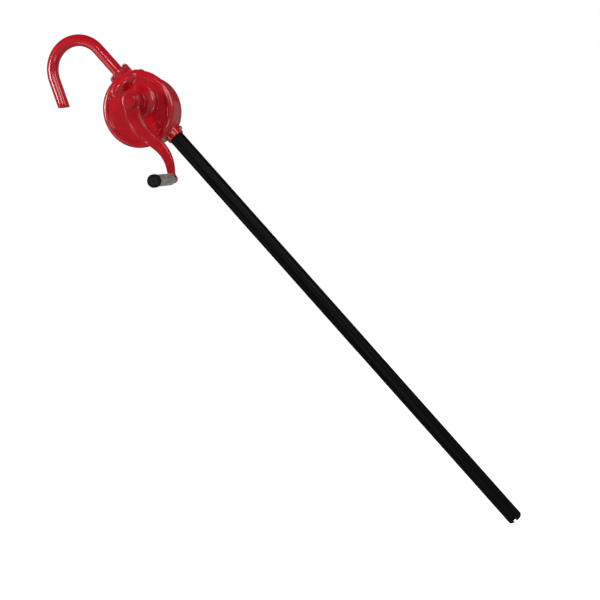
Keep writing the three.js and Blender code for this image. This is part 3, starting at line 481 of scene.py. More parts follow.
# Height and radius: out to the hood's widest circle, then in to the neck.
OUTLET_HOOD = [(136, 16), (137.5, 24), (140, 31), (144, 37.5), (149, 42), (154, HOOD_R)]
OUTLET_HOOD += [(157.5, 42.6), (160, 38), (162.2, 32.5), (164.5, 27.4), (167, 23), (169.4, 20.2)]
OUTLET_HOOD += [(172, NECK_R), (NECK_TOP_Z, NECK_R)]

BOSS_ROOT_R = 32
BOSS_ROOT_DEPTH = 6
BOSS_FLARE = 8.2
BOSS_TAPER = 0.2
BOSS_FILLET = 5
BOSS_STEPS = 10
BOSS_CHAMFER = 1

CHAMBER_EDGE = 0.5
CHAMBER_OVERRUN = 9
INLET_PORT_TOP = 70
OUTLET_PORT_FOOT = 130
STUFFING_FLOOR_Y = -32.6
STUFFING_R = SHAFT_R + 5.6
SCREW_DEPTH = 14.0
BOLT_HOLE_OVERRUN = 0.5

ARROW_STEP = 0.5
ARROW_R = 41  # of the curved line, round the shaft
ARROW_ANGLE = -44.0  # degrees from +X, at the line's middle
ARROW_HALF_ANGLE = 22.0
ARROW_LINE_R = 1.7
ARROW_HEAD = 7
ARROW_HEAD_SLOPE = 0.62
ARROW_HEAD_START = 1.5
ARROW_HEAD_END = 7.5
ARROW_RISE = 0.6
ARROW_HALF_HEIGHT = 1.9
ARROW_ROUND = 1.2


def ear_outline(x, y, neck_r, ear_r, ear_x):
    """The oval of a neck and its two ears, seen from above."""
    middle_part = np.hypot(x, y) - neck_r
    ears = np.hypot(np.abs(x) - ear_x, y) - ear_r
    web = np.maximum(np.abs(y) - ear_r, np.abs(x) - ear_x)
    return blended(middle_part, np.minimum(ears, web), EAR_FILLET)


def raised_arrow(x, y, z):
    """The cast arrow that shows which way the crank turns."""
    across = np.hypot(x - SHAFT_X, z - SHAFT_Z) - ARROW_R
    angle = np.degrees(np.arctan2(z - SHAFT_Z, x - SHAFT_X))
    past_ends = (np.abs(angle - ARROW_ANGLE) - ARROW_HALF_ANGLE) * math.radians(ARROW_R)
    line = np.hypot(across, np.maximum(past_ends, 0)) - ARROW_LINE_R
    tip = (ARROW_ANGLE - ARROW_HALF_ANGLE - angle) * math.radians(ARROW_R)
    head = np.maximum(np.abs(across) - (ARROW_HEAD - tip) * ARROW_HEAD_SLOPE, -tip - ARROW_HEAD_START)
    outline = np.minimum(line, np.maximum(head, tip - ARROW_HEAD_END) * 0.8)
    height = np.abs(y - (FACE_Y + FACE_RECESS + ARROW_RISE)) - ARROW_HALF_HEIGHT
    return -blended(-outline, -height, ARROW_ROUND)


def drum_and_rim(x, y, z):
    """The drum and its bevelled front rim, with the dished face."""
    drum = rod(x, z, y, DRUM_X, DRUM_Z, DRUM_R, FACE_Y + DRUM_START, REAR_Y + PAST_CUT, DRUM_EDGE)
    rim = rod(x, z, y, RIM_X, RIM_Z, RIM_R, FACE_Y, FACE_Y + RIM_THICKNESS, RIM_EDGE)
    bevel = (np.hypot(x - RIM_X, z - RIM_Z) - RIM_R + RIM_BEVEL - (y - FACE_Y)) / math.sqrt(2)
    rim = -blended(-rim, -bevel, RIM_BEVEL_FILLET)
    dish = rod(x, z, y, RIM_X, RIM_Z, FACE_LIP_R, FACE_Y - PAST_CUT, FACE_Y + FACE_RECESS, RIM_EDGE)
    return carved(blended(drum, rim, RIM_FILLET), dish, FACE_LIP_FILLET)


def boss_profile():
    """Radii along the shaft's boss by the distance forward of the shaft's middle."""
    face = -FACE_Y - FACE_RECESS
    profile = [(face - BOSS_ROOT_DEPTH, BOSS_ROOT_R + 2), (face, BOSS_ROOT_R)]
    for i in range(1, BOSS_STEPS):
        turn = math.radians(9 * i)
        profile.append((face + 1 + i * 2.0, BOSS_ROOT_R - BOSS_FLARE * math.sin(turn) - BOSS_TAPER * i))
    return profile + [(-BOSS_END_Y - BOSS_CHAMFER, BOSS_R), (-BOSS_END_Y, BOSS_R - BOSS_CHAMFER)]


def body_field(x, y, z):
    inlet = stem(np.hypot(x, y), z, INLET_NECK)
    hood = stem(np.hypot(x, y), z, OUTLET_HOOD)
    ear_height = np.abs(z - NECK_TOP_Z + EAR_PLATE / 2) - EAR_PLATE / 2
    ears = np.maximum(ear_outline(x, y, NECK_R, EAR_R, BOLT_X), ear_height)
    boss = stem(np.hypot(x - SHAFT_X, z - SHAFT_Z), -y, boss_profile())
    shell = blended(drum_and_rim(x, y, z), inlet, INLET_FILLET)
    shell = blended(shell, blended(hood, ears, EAR_TO_HOOD_FILLET), HOOD_FILLET)
    shell = blended(shell, boss, BOSS_FILLET)
    return drilled_body(np.maximum(shell, y - REAR_Y), x, y, z)


def drilled_body(shell, x, y, z):
    """The casting less its chamber, ports, bores and screw holes."""
    chamber_end_y = REAR_Y + CHAMBER_OVERRUN
    chamber = rod(x, z, y, CHAMBER_X, CHAMBER_Z, CHAMBER_R, CHAMBER_FLOOR_Y, chamber_end_y, CHAMBER_EDGE)
    neck_line = np.hypot(x, y)
    inlet_port = np.maximum(neck_line - PORT_R, z - INLET_PORT_TOP)
    outlet_port = np.maximum(neck_line - PORT_R, OUTLET_PORT_FOOT - z)
    pipe_pocket = np.maximum(neck_line - (PIPE_R + FIT_GAP), z - PIPE_TOP_Z - FIT_GAP)
    spout_pocket = np.maximum(neck_line - SPOUT_POCKET_R, SPOUT_SEAT_Z - FIT_GAP - z)
    shaft_line = np.hypot(x - SHAFT_X, z - SHAFT_Z)
    bush_seat = np.maximum(shaft_line - BUSH_SEAT_R, STUFFING_FLOOR_Y - y)
    stuffing = np.maximum(shaft_line - STUFFING_R, y - STUFFING_FLOOR_Y)
    bolt_foot_z = NECK_TOP_Z - EAR_PLATE - BOLT_HOLE_OVERRUN
    bolt_hole = np.maximum(np.hypot(np.abs(x) - BOLT_X, y) - BOLT_HOLE_R, bolt_foot_z - z)
    lock_hole = np.maximum(np.hypot(y, z - LOCK_Z) - SCREW_HOLE_R, -x)
    hollow = np.minimum.reduce([
        chamber, inlet_port, outlet_port, pipe_pocket, spout_pocket, bush_seat, stuffing,
        bolt_hole, lock_hole,
    ])
    for screw_x, screw_z in screw_places():
        screw = np.hypot(x - screw_x, z - screw_z) - SCREW_HOLE_R
        hollow = np.minimum(hollow, np.maximum(screw, REAR_Y - SCREW_DEPTH - y))
    return np.maximum(shell, -hollow)


def make_pump_body(material):
    casting = surface_of(body_field, BODY_LOW, BODY_HIGH, CAST_STEP)
    low = (SHAFT_X - 10, FACE_Y - 1, SHAFT_Z - 52)
    high = (SHAFT_X + 56, FACE_Y + 7, SHAFT_Z + 4)
    arrow = surface_of(raised_arrow, low, high, ARROW_STEP)
    piece_of("pump_body_casting", [casting, arrow], "casing", "red_paint", material, "pump_body")


# ---- Rear cover ---------------------------------------------------------------------------------------

COVER_LOW_Y = side("rear_cover", 1, 0)
COVER_HIGH_Y = side("rear_cover", 1, 1)
COVER_PLATE = 8.0
COVER_STEP = 1.3
COVER_EDGE = 1.6
COVER_BOSS_R = 20
COVER_BOSS_EDGE = 2.2
COVER_BOSS_FILLET = 4
COVER_MARGIN = 4  # round the cover in its grid
RIB_HALF = 2.5
RIB_LENGTH = 50
RIB_REACH = 52  # where a rib's crest comes down to the plate
RIB_SLOPE = 0.16
RIB_HEIGHT = 6
RIB_FILLET = 3


def cover_ribs(x, y, z):
    """Ribs that run out from the boss between the screws and fall away to the plate."""
    ribs = np.full_like(x, 1e3)
    plate_top = COVER_LOW_Y + COVER_PLATE
    for i in range(SCREW_COUNT):
        angle = 2 * math.pi * (i + 0.5) / SCREW_COUNT
        across = np.abs((x - SHAFT_X) * math.sin(angle) - (z - SHAFT_Z) * math.cos(angle)) - RIB_HALF
        along = (x - SHAFT_X) * math.cos(angle) + (z - SHAFT_Z) * math.sin(angle)
        crest = plate_top + np.clip((RIB_REACH - along) * RIB_SLOPE, -2, RIB_HEIGHT) - y
        ribs = np.minimum(ribs, np.maximum.reduce([across, -along, along - RIB_LENGTH, -crest]))
    return ribs


def cover_field(x, y, z):
    plate = rod(x, z, y, DRUM_X, DRUM_Z, DRUM_R, COVER_LOW_Y, COVER_LOW_Y + COVER_PLATE, COVER_EDGE)
    boss = rod(x, z, y, SHAFT_X, SHAFT_Z, COVER_BOSS_R, COVER_LOW_Y + 2, COVER_HIGH_Y, COVER_BOSS_EDGE)
    cover = blended(blended(plate, boss, COVER_BOSS_FILLET), cover_ribs(x, y, z), RIB_FILLET)
    from_shaft = np.hypot(x - SHAFT_X, z - SHAFT_Z)
    bush_seat = np.maximum(from_shaft - BUSH_SEAT_R, y - COVER_LOW_Y - BUSH_SEAT_DEPTH)
    cover = np.maximum(cover, -bush_seat)
    for screw_x, screw_z in screw_places():
        cover = np.maximum(cover, SCREW_HOLE_R - np.hypot(x - screw_x, z - screw_z))
    return np.maximum(cover, COVER_LOW_Y - y)


def make_rear_cover(material):
    reach = DRUM_R + COVER_MARGIN
    low = (DRUM_X - reach, COVER_LOW_Y - 3, DRUM_Z - reach)
    high = (DRUM_X + reach, COVER_HIGH_Y + 3, DRUM_Z + reach)
    piece_of("rear_cover_casting", [surface_of(cover_field, low, high, COVER_STEP)],
             "casing", "red_paint", material, "rear_cover")


# ---- Spout flange, gland nut, grip nut, strainer ------------------------------------------------------

FLANGE_LOW_Z = side("spout_flange", 2, 0)
FLANGE_HIGH_Z = side("spout_flange", 2, 1)
FLANGE_EDGE = 1.8
COLLAR_HEIGHT = 3.0
COLLAR_R = 14.0
COLLAR_EDGE = 0.9
COLLAR_FILLET = 2.4
SEAL_SEAT_R = SPOUT_R + 2.3
SEAL_SEAT_HEIGHT = 3
SMALL_CAST_STEP = 0.62


def flange_field(x, y, z):
    top = FLANGE_HIGH_Z - COLLAR_HEIGHT
    outline = ear_outline(x, y, NECK_R, EAR_R, BOLT_X)
    along = np.abs(z - (FLANGE_LOW_Z + top) / 2) - (top - FLANGE_LOW_Z) / 2
    plate = -blended(-outline, -along, FLANGE_EDGE)
    collar = rod(x, y, z, 0, 0, COLLAR_R, FLANGE_LOW_Z + 1, FLANGE_HIGH_Z, COLLAR_EDGE)
    flange = blended(plate, collar, COLLAR_FILLET)
    bore = np.hypot(x, y) - SPOUT_POCKET_R
    seal_seat = np.maximum(np.hypot(x, y) - SEAL_SEAT_R, z - FLANGE_LOW_Z - SEAL_SEAT_HEIGHT)
    bolt_hole = np.hypot(np.abs(x) - BOLT_X, y) - BOLT_HOLE_R
    return np.maximum.reduce([flange, -bore, -seal_seat, -bolt_hole])


def make_spout_flange(material):
    reach = BOLT_X + EAR_R + 2
    low = (-reach, -NECK_R - 2, FLANGE_LOW_Z - 1.5)
    high = (reach, NECK_R + 2, FLANGE_HIGH_Z + 1.5)
    piece_of("spout_flange_casting", [surface_of(flange_field, low, high, SMALL_CAST_STEP)],
             "casing", "red_paint", material, "spout_flange")


GLAND_LOW_Y = side("gland_nut", 1, 0)
GLAND_HIGH_Y = side("gland_nut", 1, 1)
GLAND_FLATS = 34.0
GLAND_HEAD = 7.0
GLAND_EDGE = 0.7
GLAND_CORNER_R = 17.6  # where the chamfer cuts the hexagon's corners
GLAND_CHAMFER = 0.6
GLAND_SKIRT_R = SHAFT_R + 5.3
GLAND_REACH = 21
NUT_BORE_EDGE = 0.8


def gland_field(x, y, z):
    out = np.hypot(x - SHAFT_X, z - SHAFT_Z)
    flats = hexagon(z - SHAFT_Z, x - SHAFT_X, GLAND_FLATS)
    from_middle = np.abs(y - GLAND_LOW_Y - GLAND_HEAD / 2)
    corners = (out - GLAND_CORNER_R + (from_middle - 1.8) * GLAND_CHAMFER) * 0.85
    head = -blended(-np.maximum(flats, corners), -(from_middle - GLAND_HEAD / 2), GLAND_EDGE)
    skirt = rod(x, z, y, SHAFT_X, SHAFT_Z, GLAND_SKIRT_R, GLAND_LOW_Y + 2, GLAND_HIGH_Y, 0.6)
    return carved(np.minimum(head, skirt), out - (SHAFT_R + FIT_GAP), NUT_BORE_EDGE)


def make_gland_nut(material):
    low = (SHAFT_X - GLAND_REACH, GLAND_LOW_Y - 1.5, SHAFT_Z - GLAND_REACH)
    high = (SHAFT_X + GLAND_REACH, GLAND_HIGH_Y + 1.5, SHAFT_Z + GLAND_REACH)
    piece_of("gland_nut_turned", [surface_of(gland_field, low, high, SMALL_CAST_STEP)],
             "casing", "red_paint", material, "gland_nut")


GRIP_NUT_LOW_Y = side("grip_nut", 1, 0)
GRIP_NUT_HIGH_Y = side("grip_nut", 1, 1)
GRIP_NUT_FLATS = 19.0
GRIP_NUT_CORNER_R = 9.4
GRIP_NUT_EDGE = 0.5
GRIP_NUT_REACH = 12.5
GRIP_NUT_STEP = 0.4


def grip_nut_field(x, y, z):
    out = np.hypot(x - GRIP_X, z - GRIP_Z)
    flats = hexagon(x - GRIP_X, z - GRIP_Z, GRIP_NUT_FLATS)
    from_middle = np.abs(y - (GRIP_NUT_LOW_Y + GRIP_NUT_HIGH_Y) / 2)
    along = from_middle - (GRIP_NUT_HIGH_Y - GRIP_NUT_LOW_Y) / 2
    corners = (out - GRIP_NUT_CORNER_R + np.maximum(from_middle - 1.2, 0) * 1.5) * 0.6
    nut = -blended(-np.maximum(flats, corners), -along, GRIP_NUT_EDGE)
    return carved(nut, out - PIN_BORE_R, NUT_BORE_EDGE)


def make_grip_nut(material):
    low = (GRIP_X - GRIP_NUT_REACH, GRIP_NUT_LOW_Y - 1, GRIP_Z - GRIP_NUT_REACH)
    high = (GRIP_X + GRIP_NUT_REACH, GRIP_NUT_HIGH_Y + 1, GRIP_Z + GRIP_NUT_REACH)
    piece_of("grip_nut_turned", [surface_of(grip_nut_field, low, high, GRIP_NUT_STEP)],
             "crank", "steel", material, "grip_nut")


STRAINER_STEP = 0.6
STRAINER_EDGE = 0.5
STRAINER_CAP = 11.7  # height of the part below the pipe's end
STRAINER_HEIGHT = 26
STRAINER_NOSE_R = 6
STRAINER_SPIGOT_R = PIPE_BORE_R - FIT_GAP
STRAINER_WALL = 2
STRAINER_MOUTH_R = 9.0
STRAINER_SLOT_HALF = 3.0
STRAINER_SLOT_HEIGHT = 10
STRAINER_SLOT_EDGE = 0.8


def strainer_field(x, y, z):
    rise = z - STRAINER_FOOT_Z
    out = np.hypot(x, y)
    shell = rod(x, y, rise, 0, 0, PIPE_R, 0, STRAINER_CAP, STRAINER_EDGE)
    nose_out = np.maximum(out - (PIPE_R - STRAINER_NOSE_R), 0)
    nose = np.hypot(nose_out, np.maximum(STRAINER_NOSE_R - rise, 0)) - STRAINER_NOSE_R
    shell = np.maximum(shell, np.where(rise < STRAINER_NOSE_R, nose, -1e3))
    spigot = rod(x, y, rise, 0, 0, STRAINER_SPIGOT_R, 2, STRAINER_HEIGHT, STRAINER_EDGE)
    hollow = np.maximum(out - (STRAINER_SPIGOT_R - STRAINER_WALL), STRAINER_WALL - rise)
    strainer = np.maximum(np.minimum(shell, spigot), -np.minimum(hollow, out - STRAINER_MOUTH_R))
    slot = np.minimum(np.abs(x), np.abs(y)) - STRAINER_SLOT_HALF
    return carved(strainer, np.maximum(slot, rise - STRAINER_SLOT_HEIGHT), STRAINER_SLOT_EDGE)


def make_foot_strainer(material):
    reach = PIPE_R + 1.5
    low = (-reach, -reach, STRAINER_FOOT_Z - 1.5)
    high = (reach, reach, STRAINER_FOOT_Z + STRAINER_HEIGHT + 1.5)
    piece_of("foot_strainer_moulded", [surface_of(strainer_field, low, high, STRAINER_STEP)],
             "casing", "black_plastic", material, "foot_strainer")


# ---- Crank arm ----------------------------------------------------------------------------------------

ARM_STEP = 0.95
ARM_ROOT = 34.0  # width at the hub
ARM_TIP = 13.0  # width at the eye
ARM_TAPER = 1.5
ARM_BEND = 13.0  # how far the S swings to each side
ARM_EDGE = 3.2
ARM_DISH = 1.5
ARM_DISH_RIM = 2.6
ARM_DISH_SLOPE = 2.2
ARM_DISH_START = 24
ARM_DISH_END = 118
HUB_R = 20.0
HUB_EDGE = 1.8
HUB_FILLET = 4
NOSE_R = 14.5
NOSE_FILLET = 2.6
NOSE_BORE_DEPTH = 4.0
DRIVE_BORE_R = SHAFT_R - 1.2
EYE_R = 9.5
EYE_EDGE = 1.6
EYE_FILLET = 5
SET_SCREW_ANGLE = math.radians(222)
SET_SCREW_R = 3.1
SET_SCREW_PLACE = 5  # behind the nose's front end
SET_SCREW_EDGE = 0.8


def arm_blade(across, down, y):
    """The S-shaped arm between the hub and the eye, with a dish in its front face."""
    part = np.clip(down / CRANK_THROW, 0, 1)
    swing = -ARM_BEND * np.sin(2 * math.pi * part)
    tilt = -ARM_BEND * 2 * math.pi / CRANK_THROW * np.cos(2 * math.pi * part)
    half = (ARM_ROOT + (ARM_TIP - ARM_ROOT) * part ** ARM_TAPER) / 2
    lateral = np.abs(across - swing) / np.sqrt(1 + tilt * tilt) - half
    fade = np.clip((down - ARM_DISH_START) / 14, 0, 1) * np.clip((ARM_DISH_END - down) / 40, 0, 1)
    dish = ARM_DISH * fade * np.clip((-lateral - ARM_DISH_RIM) / ARM_DISH_SLOPE, 0, 1)
    front = ARM_FRONT_Y + dish - y
    back = y - ARM_REAR_Y
    ends = np.maximum(-down, down - CRANK_THROW)
    blade = np.maximum(-blended(-np.maximum(lateral, back), -front, ARM_EDGE), ends)
    return np.maximum(blade, -blended(-lateral, -back, ARM_EDGE))


def set_screw_hole(x, y, z):
    """A blind hole in the side of the crank's nose."""
    cos = math.cos(SET_SCREW_ANGLE)
    sin = math.sin(SET_SCREW_ANGLE)
    out = (x - SHAFT_X) * cos + (z - SHAFT_Z) * sin
    aside = -(x - SHAFT_X) * sin + (z - SHAFT_Z) * cos
    return np.maximum(np.hypot(aside, y - HUB_END_Y - SET_SCREW_PLACE) - SET_SCREW_R, -out)


def arm_field(x, y, z):
    lean_cos = math.cos(CRANK_LEAN)
    lean_sin = math.sin(CRANK_LEAN)
    across = (x - SHAFT_X) * lean_cos - (z - SHAFT_Z) * lean_sin
    down = -(x - SHAFT_X) * lean_sin - (z - SHAFT_Z) * lean_cos
    eye = rod(across, down, y, 0, CRANK_THROW, EYE_R, ARM_FRONT_Y, ARM_REAR_Y, EYE_EDGE)
    hub = rod(across, down, y, 0, 0, HUB_R, ARM_FRONT_Y, HUB_REAR_Y, HUB_EDGE)
    nose = rod(across, down, y, 0, 0, NOSE_R, HUB_END_Y, HUB_REAR_Y - 2, HUB_EDGE)
    arm = blended(arm_blade(across, down, y), eye, EYE_FILLET)
    crank = blended(arm, blended(hub, nose, NOSE_FILLET), HUB_FILLET)
    shaft_bore = np.maximum(np.hypot(across, down) - DRIVE_BORE_R, HUB_END_Y + NOSE_BORE_DEPTH - y)
    pin_bore = np.hypot(across, down - CRANK_THROW) - PIN_BORE_R
    crank = carved(crank, set_screw_hole(x, y, z), SET_SCREW_EDGE)
    return np.maximum.reduce([crank, -shaft_bore, -pin_bore])


def make_crank_arm(material):
    low = (side("crank_arm", 0, 0) - 3, HUB_END_Y - 3, side("crank_arm", 2, 0) - 3)
    high = (side("crank_arm", 0, 1) + 3, HUB_REAR_Y + 3, side("crank_arm", 2, 1) + 3)
    piece_of("crank_arm_casting", [surface_of(arm_field, low, high, ARM_STEP)],
             "crank", "crank_paint", material, "crank_arm")


# ---- Turned and drawn pieces --------------------------------------------------------------------------

ROUND = 96  # facets round a turned piece
AXIS_R = 0.02  # radius of the fine hole that closes a solid turned piece on its axis


def make_suction_pipe(material):
    inner = PIPE_BORE_R
    corners = [(inner, PIPE_FOOT_Z), (PIPE_R, PIPE_FOOT_Z), (PIPE_R, PIPE_TOP_Z), (inner, PIPE_TOP_Z)]
    shell = wound(spaced(eased(corners, 0.5), 60), ROUND, upright(0, 0))
    piece_of("suction_pipe_drawn", [shell], "casing", "black_pipe", material, "suction_pipe")


def make_grip_sleeve(material):
    """A rolled tube with a shallow groove near its rear end."""
    low_y = side("grip_sleeve", 1, 0)
    high_y = side("grip_sleeve", 1, 1)
    inner = GRIP_R - 1.8
    corners = [
        (inner, low_y, 0.6), (GRIP_R, low_y, 1.0),
        (GRIP_R, high_y - 3.4, 1.2), (GRIP_R - 0.5, high_y - 2.8, 0.6), (GRIP_R, high_y - 2.2, 0.8),
        (GRIP_R, high_y, 1.2), (inner, high_y, 0.6),
    ]
    shell = wound(spaced(eased(corners, 1), 8), ROUND, forward(GRIP_X, GRIP_Z))
    piece_of("grip_sleeve_rolled", [shell], "grip", "zinc", material, "grip_sleeve")


def make_grip_end_cap(material):
    """A cap with a slightly sunk middle, and a rim that reaches over the sleeve."""
    low_y = side("grip_end_cap", 1, 0)
    high_y = side("grip_end_cap", 1, 1)
    outer = breadth("grip_end_cap", 0) / 2
    socket_r = GRIP_R + FIT_GAP
    corners = [
        (AXIS_R, low_y + 0.5, 0), (outer - 5, low_y + 0.5, 0.5), (outer - 4, low_y, 0.6), (outer, low_y, 2.2),
        (outer, high_y, 0.5), (socket_r, high_y, 0.3), (socket_r, low_y + 4, 0.3), (AXIS_R, low_y + 4, 0),
    ]
    shell = wound(eased(corners, 0.5), ROUND, forward(GRIP_X, GRIP_Z))
    piece_of("grip_end_cap_moulded", [shell], "grip", "black_plastic", material, "grip_end_cap")


def make_grip_washer(material):
    low_y = side("grip_washer", 1, 0)
    high_y = side("grip_washer", 1, 1)
    outer = breadth("grip_washer", 0) / 2
    corners = [(PIN_BORE_R, low_y), (outer, low_y), (outer, high_y), (PIN_BORE_R, high_y)]
    shell = wound(eased(corners, 0.4), ROUND, forward(GRIP_X, GRIP_Z))
    piece_of("grip_washer_turned", [shell], "crank", "steel", material, "grip_washer")


def make_grip_pin(material):
    """A headed pin with a centre mark in its head."""
    low_y = side("grip_pin", 1, 0)
    high_y = side("grip_pin", 1, 1)
    head_r = breadth("grip_pin", 0) / 2
    pin_r = 5
    head_y = low_y + 4
    mark_y = low_y + 1.6
    corners = [
        (AXIS_R, mark_y, 0), (1.8, mark_y, 0.2), (2.2, low_y, 0.3), (head_r, low_y, 1.2),
        (head_r, head_y, 0.6), (pin_r, head_y, 0.6), (pin_r, high_y, 1.0), (AXIS_R, high_y, 0),
    ]
    shell = wound(spaced(eased(corners, 0.5), 12), 64, forward(GRIP_X, GRIP_Z))
    piece_of("grip_pin_turned", [shell], "crank", "steel", material, "grip_pin")


# ---- Spout tube ---------------------------------------------------------------------------------------

SPOUT_WALL = 1.8
SPOUT_BORE_R = SPOUT_R - SPOUT_WALL
SPOUT_BEND_R = 63.0
SPOUT_BEND_Z = 257.0
SPOUT_BEND_ANGLE = math.radians(156)
SPOUT_BEND_STEPS = 64
SPOUT_LEG = 62.0
SPOUT_SLANT = math.radians(12)
SLANTED_RINGS = 9
SPOUT_LIP = 0.5
SPOUT_BEAD_Z = 178.2
SPOUT_BEAD_LOW_Z = 176  # the rings stand close together between here and 4 mm higher
SPOUT_SIDES = 64


def spout_path():
    """Centres and directions along the tube: up, over the bend and down the leg."""
    below = np.linspace(SPOUT_SEAT_Z + 0.6, SPOUT_BEAD_LOW_Z, 4)
    at_bead = np.linspace(SPOUT_BEAD_LOW_Z + 0.4, SPOUT_BEAD_LOW_Z + 4, 9)
    above = np.linspace(SPOUT_BEAD_LOW_Z + 8, SPOUT_BEND_Z, 9)[:-1]
    stations = [((0, z), (0, 1)) for z in (*below, *at_bead, *above)]
    for angle in np.linspace(0, SPOUT_BEND_ANGLE, SPOUT_BEND_STEPS + 1):
        x = -SPOUT_BEND_R + SPOUT_BEND_R * math.cos(angle)
        z = SPOUT_BEND_Z + SPOUT_BEND_R * math.sin(angle)
        stations.append(((x, z), (-math.sin(angle), math.cos(angle))))
    (x, z), (dx, dz) = stations[-1]
    for length in np.linspace(0, SPOUT_LEG - SPOUT_LIP, 9)[1:]:
        stations.append(((x + dx * length, z + dz * length), (dx, dz)))
    return stations


def spout_ring(station, radius, slant=0.0):
    """A ring of points round the tube's centre line, tilted by the slant."""
    (x, z), (dx, dz) = station
    ring = []
    for i in range(SPOUT_SIDES):
        angle = 2 * math.pi * i / SPOUT_SIDES
        out = radius * math.cos(angle)
        along = out * slant
        ring.append((x + dz * out + dx * along, radius * math.sin(angle), z - dx * out + dz * along))
    return ring


def spout_rings():
    """Rings up the tube's outside, over its mouth, down its bore and round its lower end."""
    stations = spout_path()
    slants = [0.0] * len(stations)
    for i in range(SLANTED_RINGS):
        slants[len(stations) - 1 - i] = -math.tan(SPOUT_SLANT) * (1 - i / (SLANTED_RINGS - 1))
    rings = []
    for station, slant in zip(stations, slants):
        bead = math.exp(-(station[0][1] - SPOUT_BEAD_Z) ** 4) if station[0][0] == 0 else 0
        rings.append(spout_ring(station, SPOUT_R + bead, slant))
    (x, z), (dx, dz) = stations[-1]
    shoulder, edge = [((x + dx * step, z + dz * step), (dx, dz)) for step in (0.35, SPOUT_LIP)]
    rings.append(spout_ring(shoulder, SPOUT_R - 0.2, slants[-1]))
    rings.append(spout_ring(edge, SPOUT_R - 0.55, slants[-1]))
    rings.append(spout_ring(edge, SPOUT_BORE_R + 0.55, slants[-1]))
    rings.append(spout_ring(shoulder, SPOUT_BORE_R + 0.2, slants[-1]))
    for station, slant in reversed(list(zip(stations, slants))):
        rings.append(spout_ring(station, SPOUT_BORE_R, slant))
    shoulder = ((0, SPOUT_SEAT_Z + 0.2), (0, 1))
    edge = ((0, SPOUT_SEAT_Z), (0, 1))
    rings.append(spout_ring(shoulder, SPOUT_BORE_R + 0.2))
    rings.append(spout_ring(edge, SPOUT_BORE_R + 0.5))
    rings.append(spout_ring(edge, SPOUT_R - 0.5))
    rings.append(spout_ring(shoulder, SPOUT_R - 0.2))
    return rings


def make_spout_tube(material):
    rings = spout_rings()
    faces = []
    for j in range(len(rings)):
        here = j * SPOUT_SIDES
        after = (j + 1) % len(rings) * SPOUT_SIDES
        for i in range(SPOUT_SIDES):
            k = (i + 1) % SPOUT_SIDES
            faces.append((here + i, after + i, after + k, here + k))
    points = [point for ring in rings for point in ring]
    piece_of("spout_tube_bent", [outward(points, faces)], "spout", "red_paint", material, "spout_tube")


def outward(points, faces):
    """The same shell with its faces turned outwards, by the sign of its volume."""
    corners = np.array(points, float)
    volume = 0.0
    for face in faces:
        first = corners[face[0]]
        for a, b in zip(face[1:-1], face[2:]):
            volume += float(np.dot(first, np.cross(corners[a], corners[b])))
    if volume < 0:
        faces = [tuple(reversed(face)) for face in faces]
    return corners, faces


# ---- Hex screws ---------------------------------------------------------------------------------------

SCREW_SIDES = 48
THREAD_PITCH = 1.0
THREAD_RINGS = 72
THREAD_DEPTH = 0.22  # share of the shank's radius
HEAD_CHAMFER = 0.577  # slope of the chamfer on a head's corners
CHAMFER_START = 0.92  # share of half the width across flats


def link_all(tree, pairs):
    for start, end in pairs:
        tree.links.new(start, end)


def maths(tree, operation, *values):
    """A Math node whose inputs are numbers or sockets; gives its output."""
    node = tree.nodes.new("ShaderNodeMath")
    node.operation = operation
    for socket, value in zip(node.inputs, values):
        if isinstance(value, (int, float)):
            socket.default_value = value
        else:
            tree.links.new(value, socket)
    return node.outputs[0]


def split_position(tree):
    position = tree.nodes.new("GeometryNodeInputPosition")
    parts = tree.nodes.new("ShaderNodeSeparateXYZ")
    tree.links.new(position.outputs[0], parts.inputs[0])
    return parts.outputs["X"], parts.outputs["Y"], parts.outputs["Z"]


def placed_at(tree, geometry, x, y, z):
    """Set Position to the point (x, y, z), each a socket."""
    joined = tree.nodes.new("ShaderNodeCombineXYZ")
    move = tree.nodes.new("GeometryNodeSetPosition")
    link_all(tree, [(x, joined.inputs["X"]), (y, joined.inputs["Y"]), (z, joined.inputs["Z"])])
    link_all(tree, [(geometry, move.inputs["Geometry"]), (joined.outputs[0], move.inputs["Position"])])
    return move.outputs["Geometry"]


def round_bar(tree, radius, depth, side_rings, cap_rings):
    bar = tree.nodes.new("GeometryNodeMeshCylinder")
    bar.fill_type = "TRIANGLE_FAN"
    bar.inputs["Vertices"].default_value = SCREW_SIDES
    bar.inputs["Side Segments"].default_value = side_rings
    bar.inputs["Fill Segments"].default_value = cap_rings
    tree.links.new(radius, bar.inputs["Radius"])
    tree.links.new(depth, bar.inputs["Depth"])
    return bar.outputs["Mesh"]


def hex_head(tree, flats, height):
    """A bar pulled out to a hexagon, with its corners chamfered; the head stands on z = 0."""
    half = maths(tree, "MULTIPLY", flats, 0.5)
    bar = round_bar(tree, half, height, 2, 6)
    x, y, z = split_position(tree)
    angle = maths(tree, "ARCTAN2", y, x)
    sixth = maths(tree, "WRAP", angle, math.radians(30), math.radians(-30))
    stretch = maths(tree, "DIVIDE", 1.0, maths(tree, "COSINE", sixth))
    squares = maths(tree, "ADD", maths(tree, "MULTIPLY", x, x), maths(tree, "MULTIPLY", y, y))
    reach = maths(tree, "MULTIPLY", maths(tree, "SQRT", squares), stretch)
    plain = maths(tree, "MULTIPLY", half, CHAMFER_START)
    corner = maths(tree, "MAXIMUM", maths(tree, "SUBTRACT", reach, plain), 0.0)
    drop = maths(tree, "MULTIPLY", corner, HEAD_CHAMFER)
    upper = maths(tree, "GREATER_THAN", z, maths(tree, "MULTIPLY", height, 0.4))
    low = maths(tree, "SUBTRACT", z, maths(tree, "MULTIPLY", drop, upper))
    stands = maths(tree, "ADD", low, maths(tree, "MULTIPLY", height, 0.5))
    wide_x = maths(tree, "MULTIPLY", x, stretch)
    wide_y = maths(tree, "MULTIPLY", y, stretch)
    return placed_at(tree, bar, wide_x, wide_y, stands)


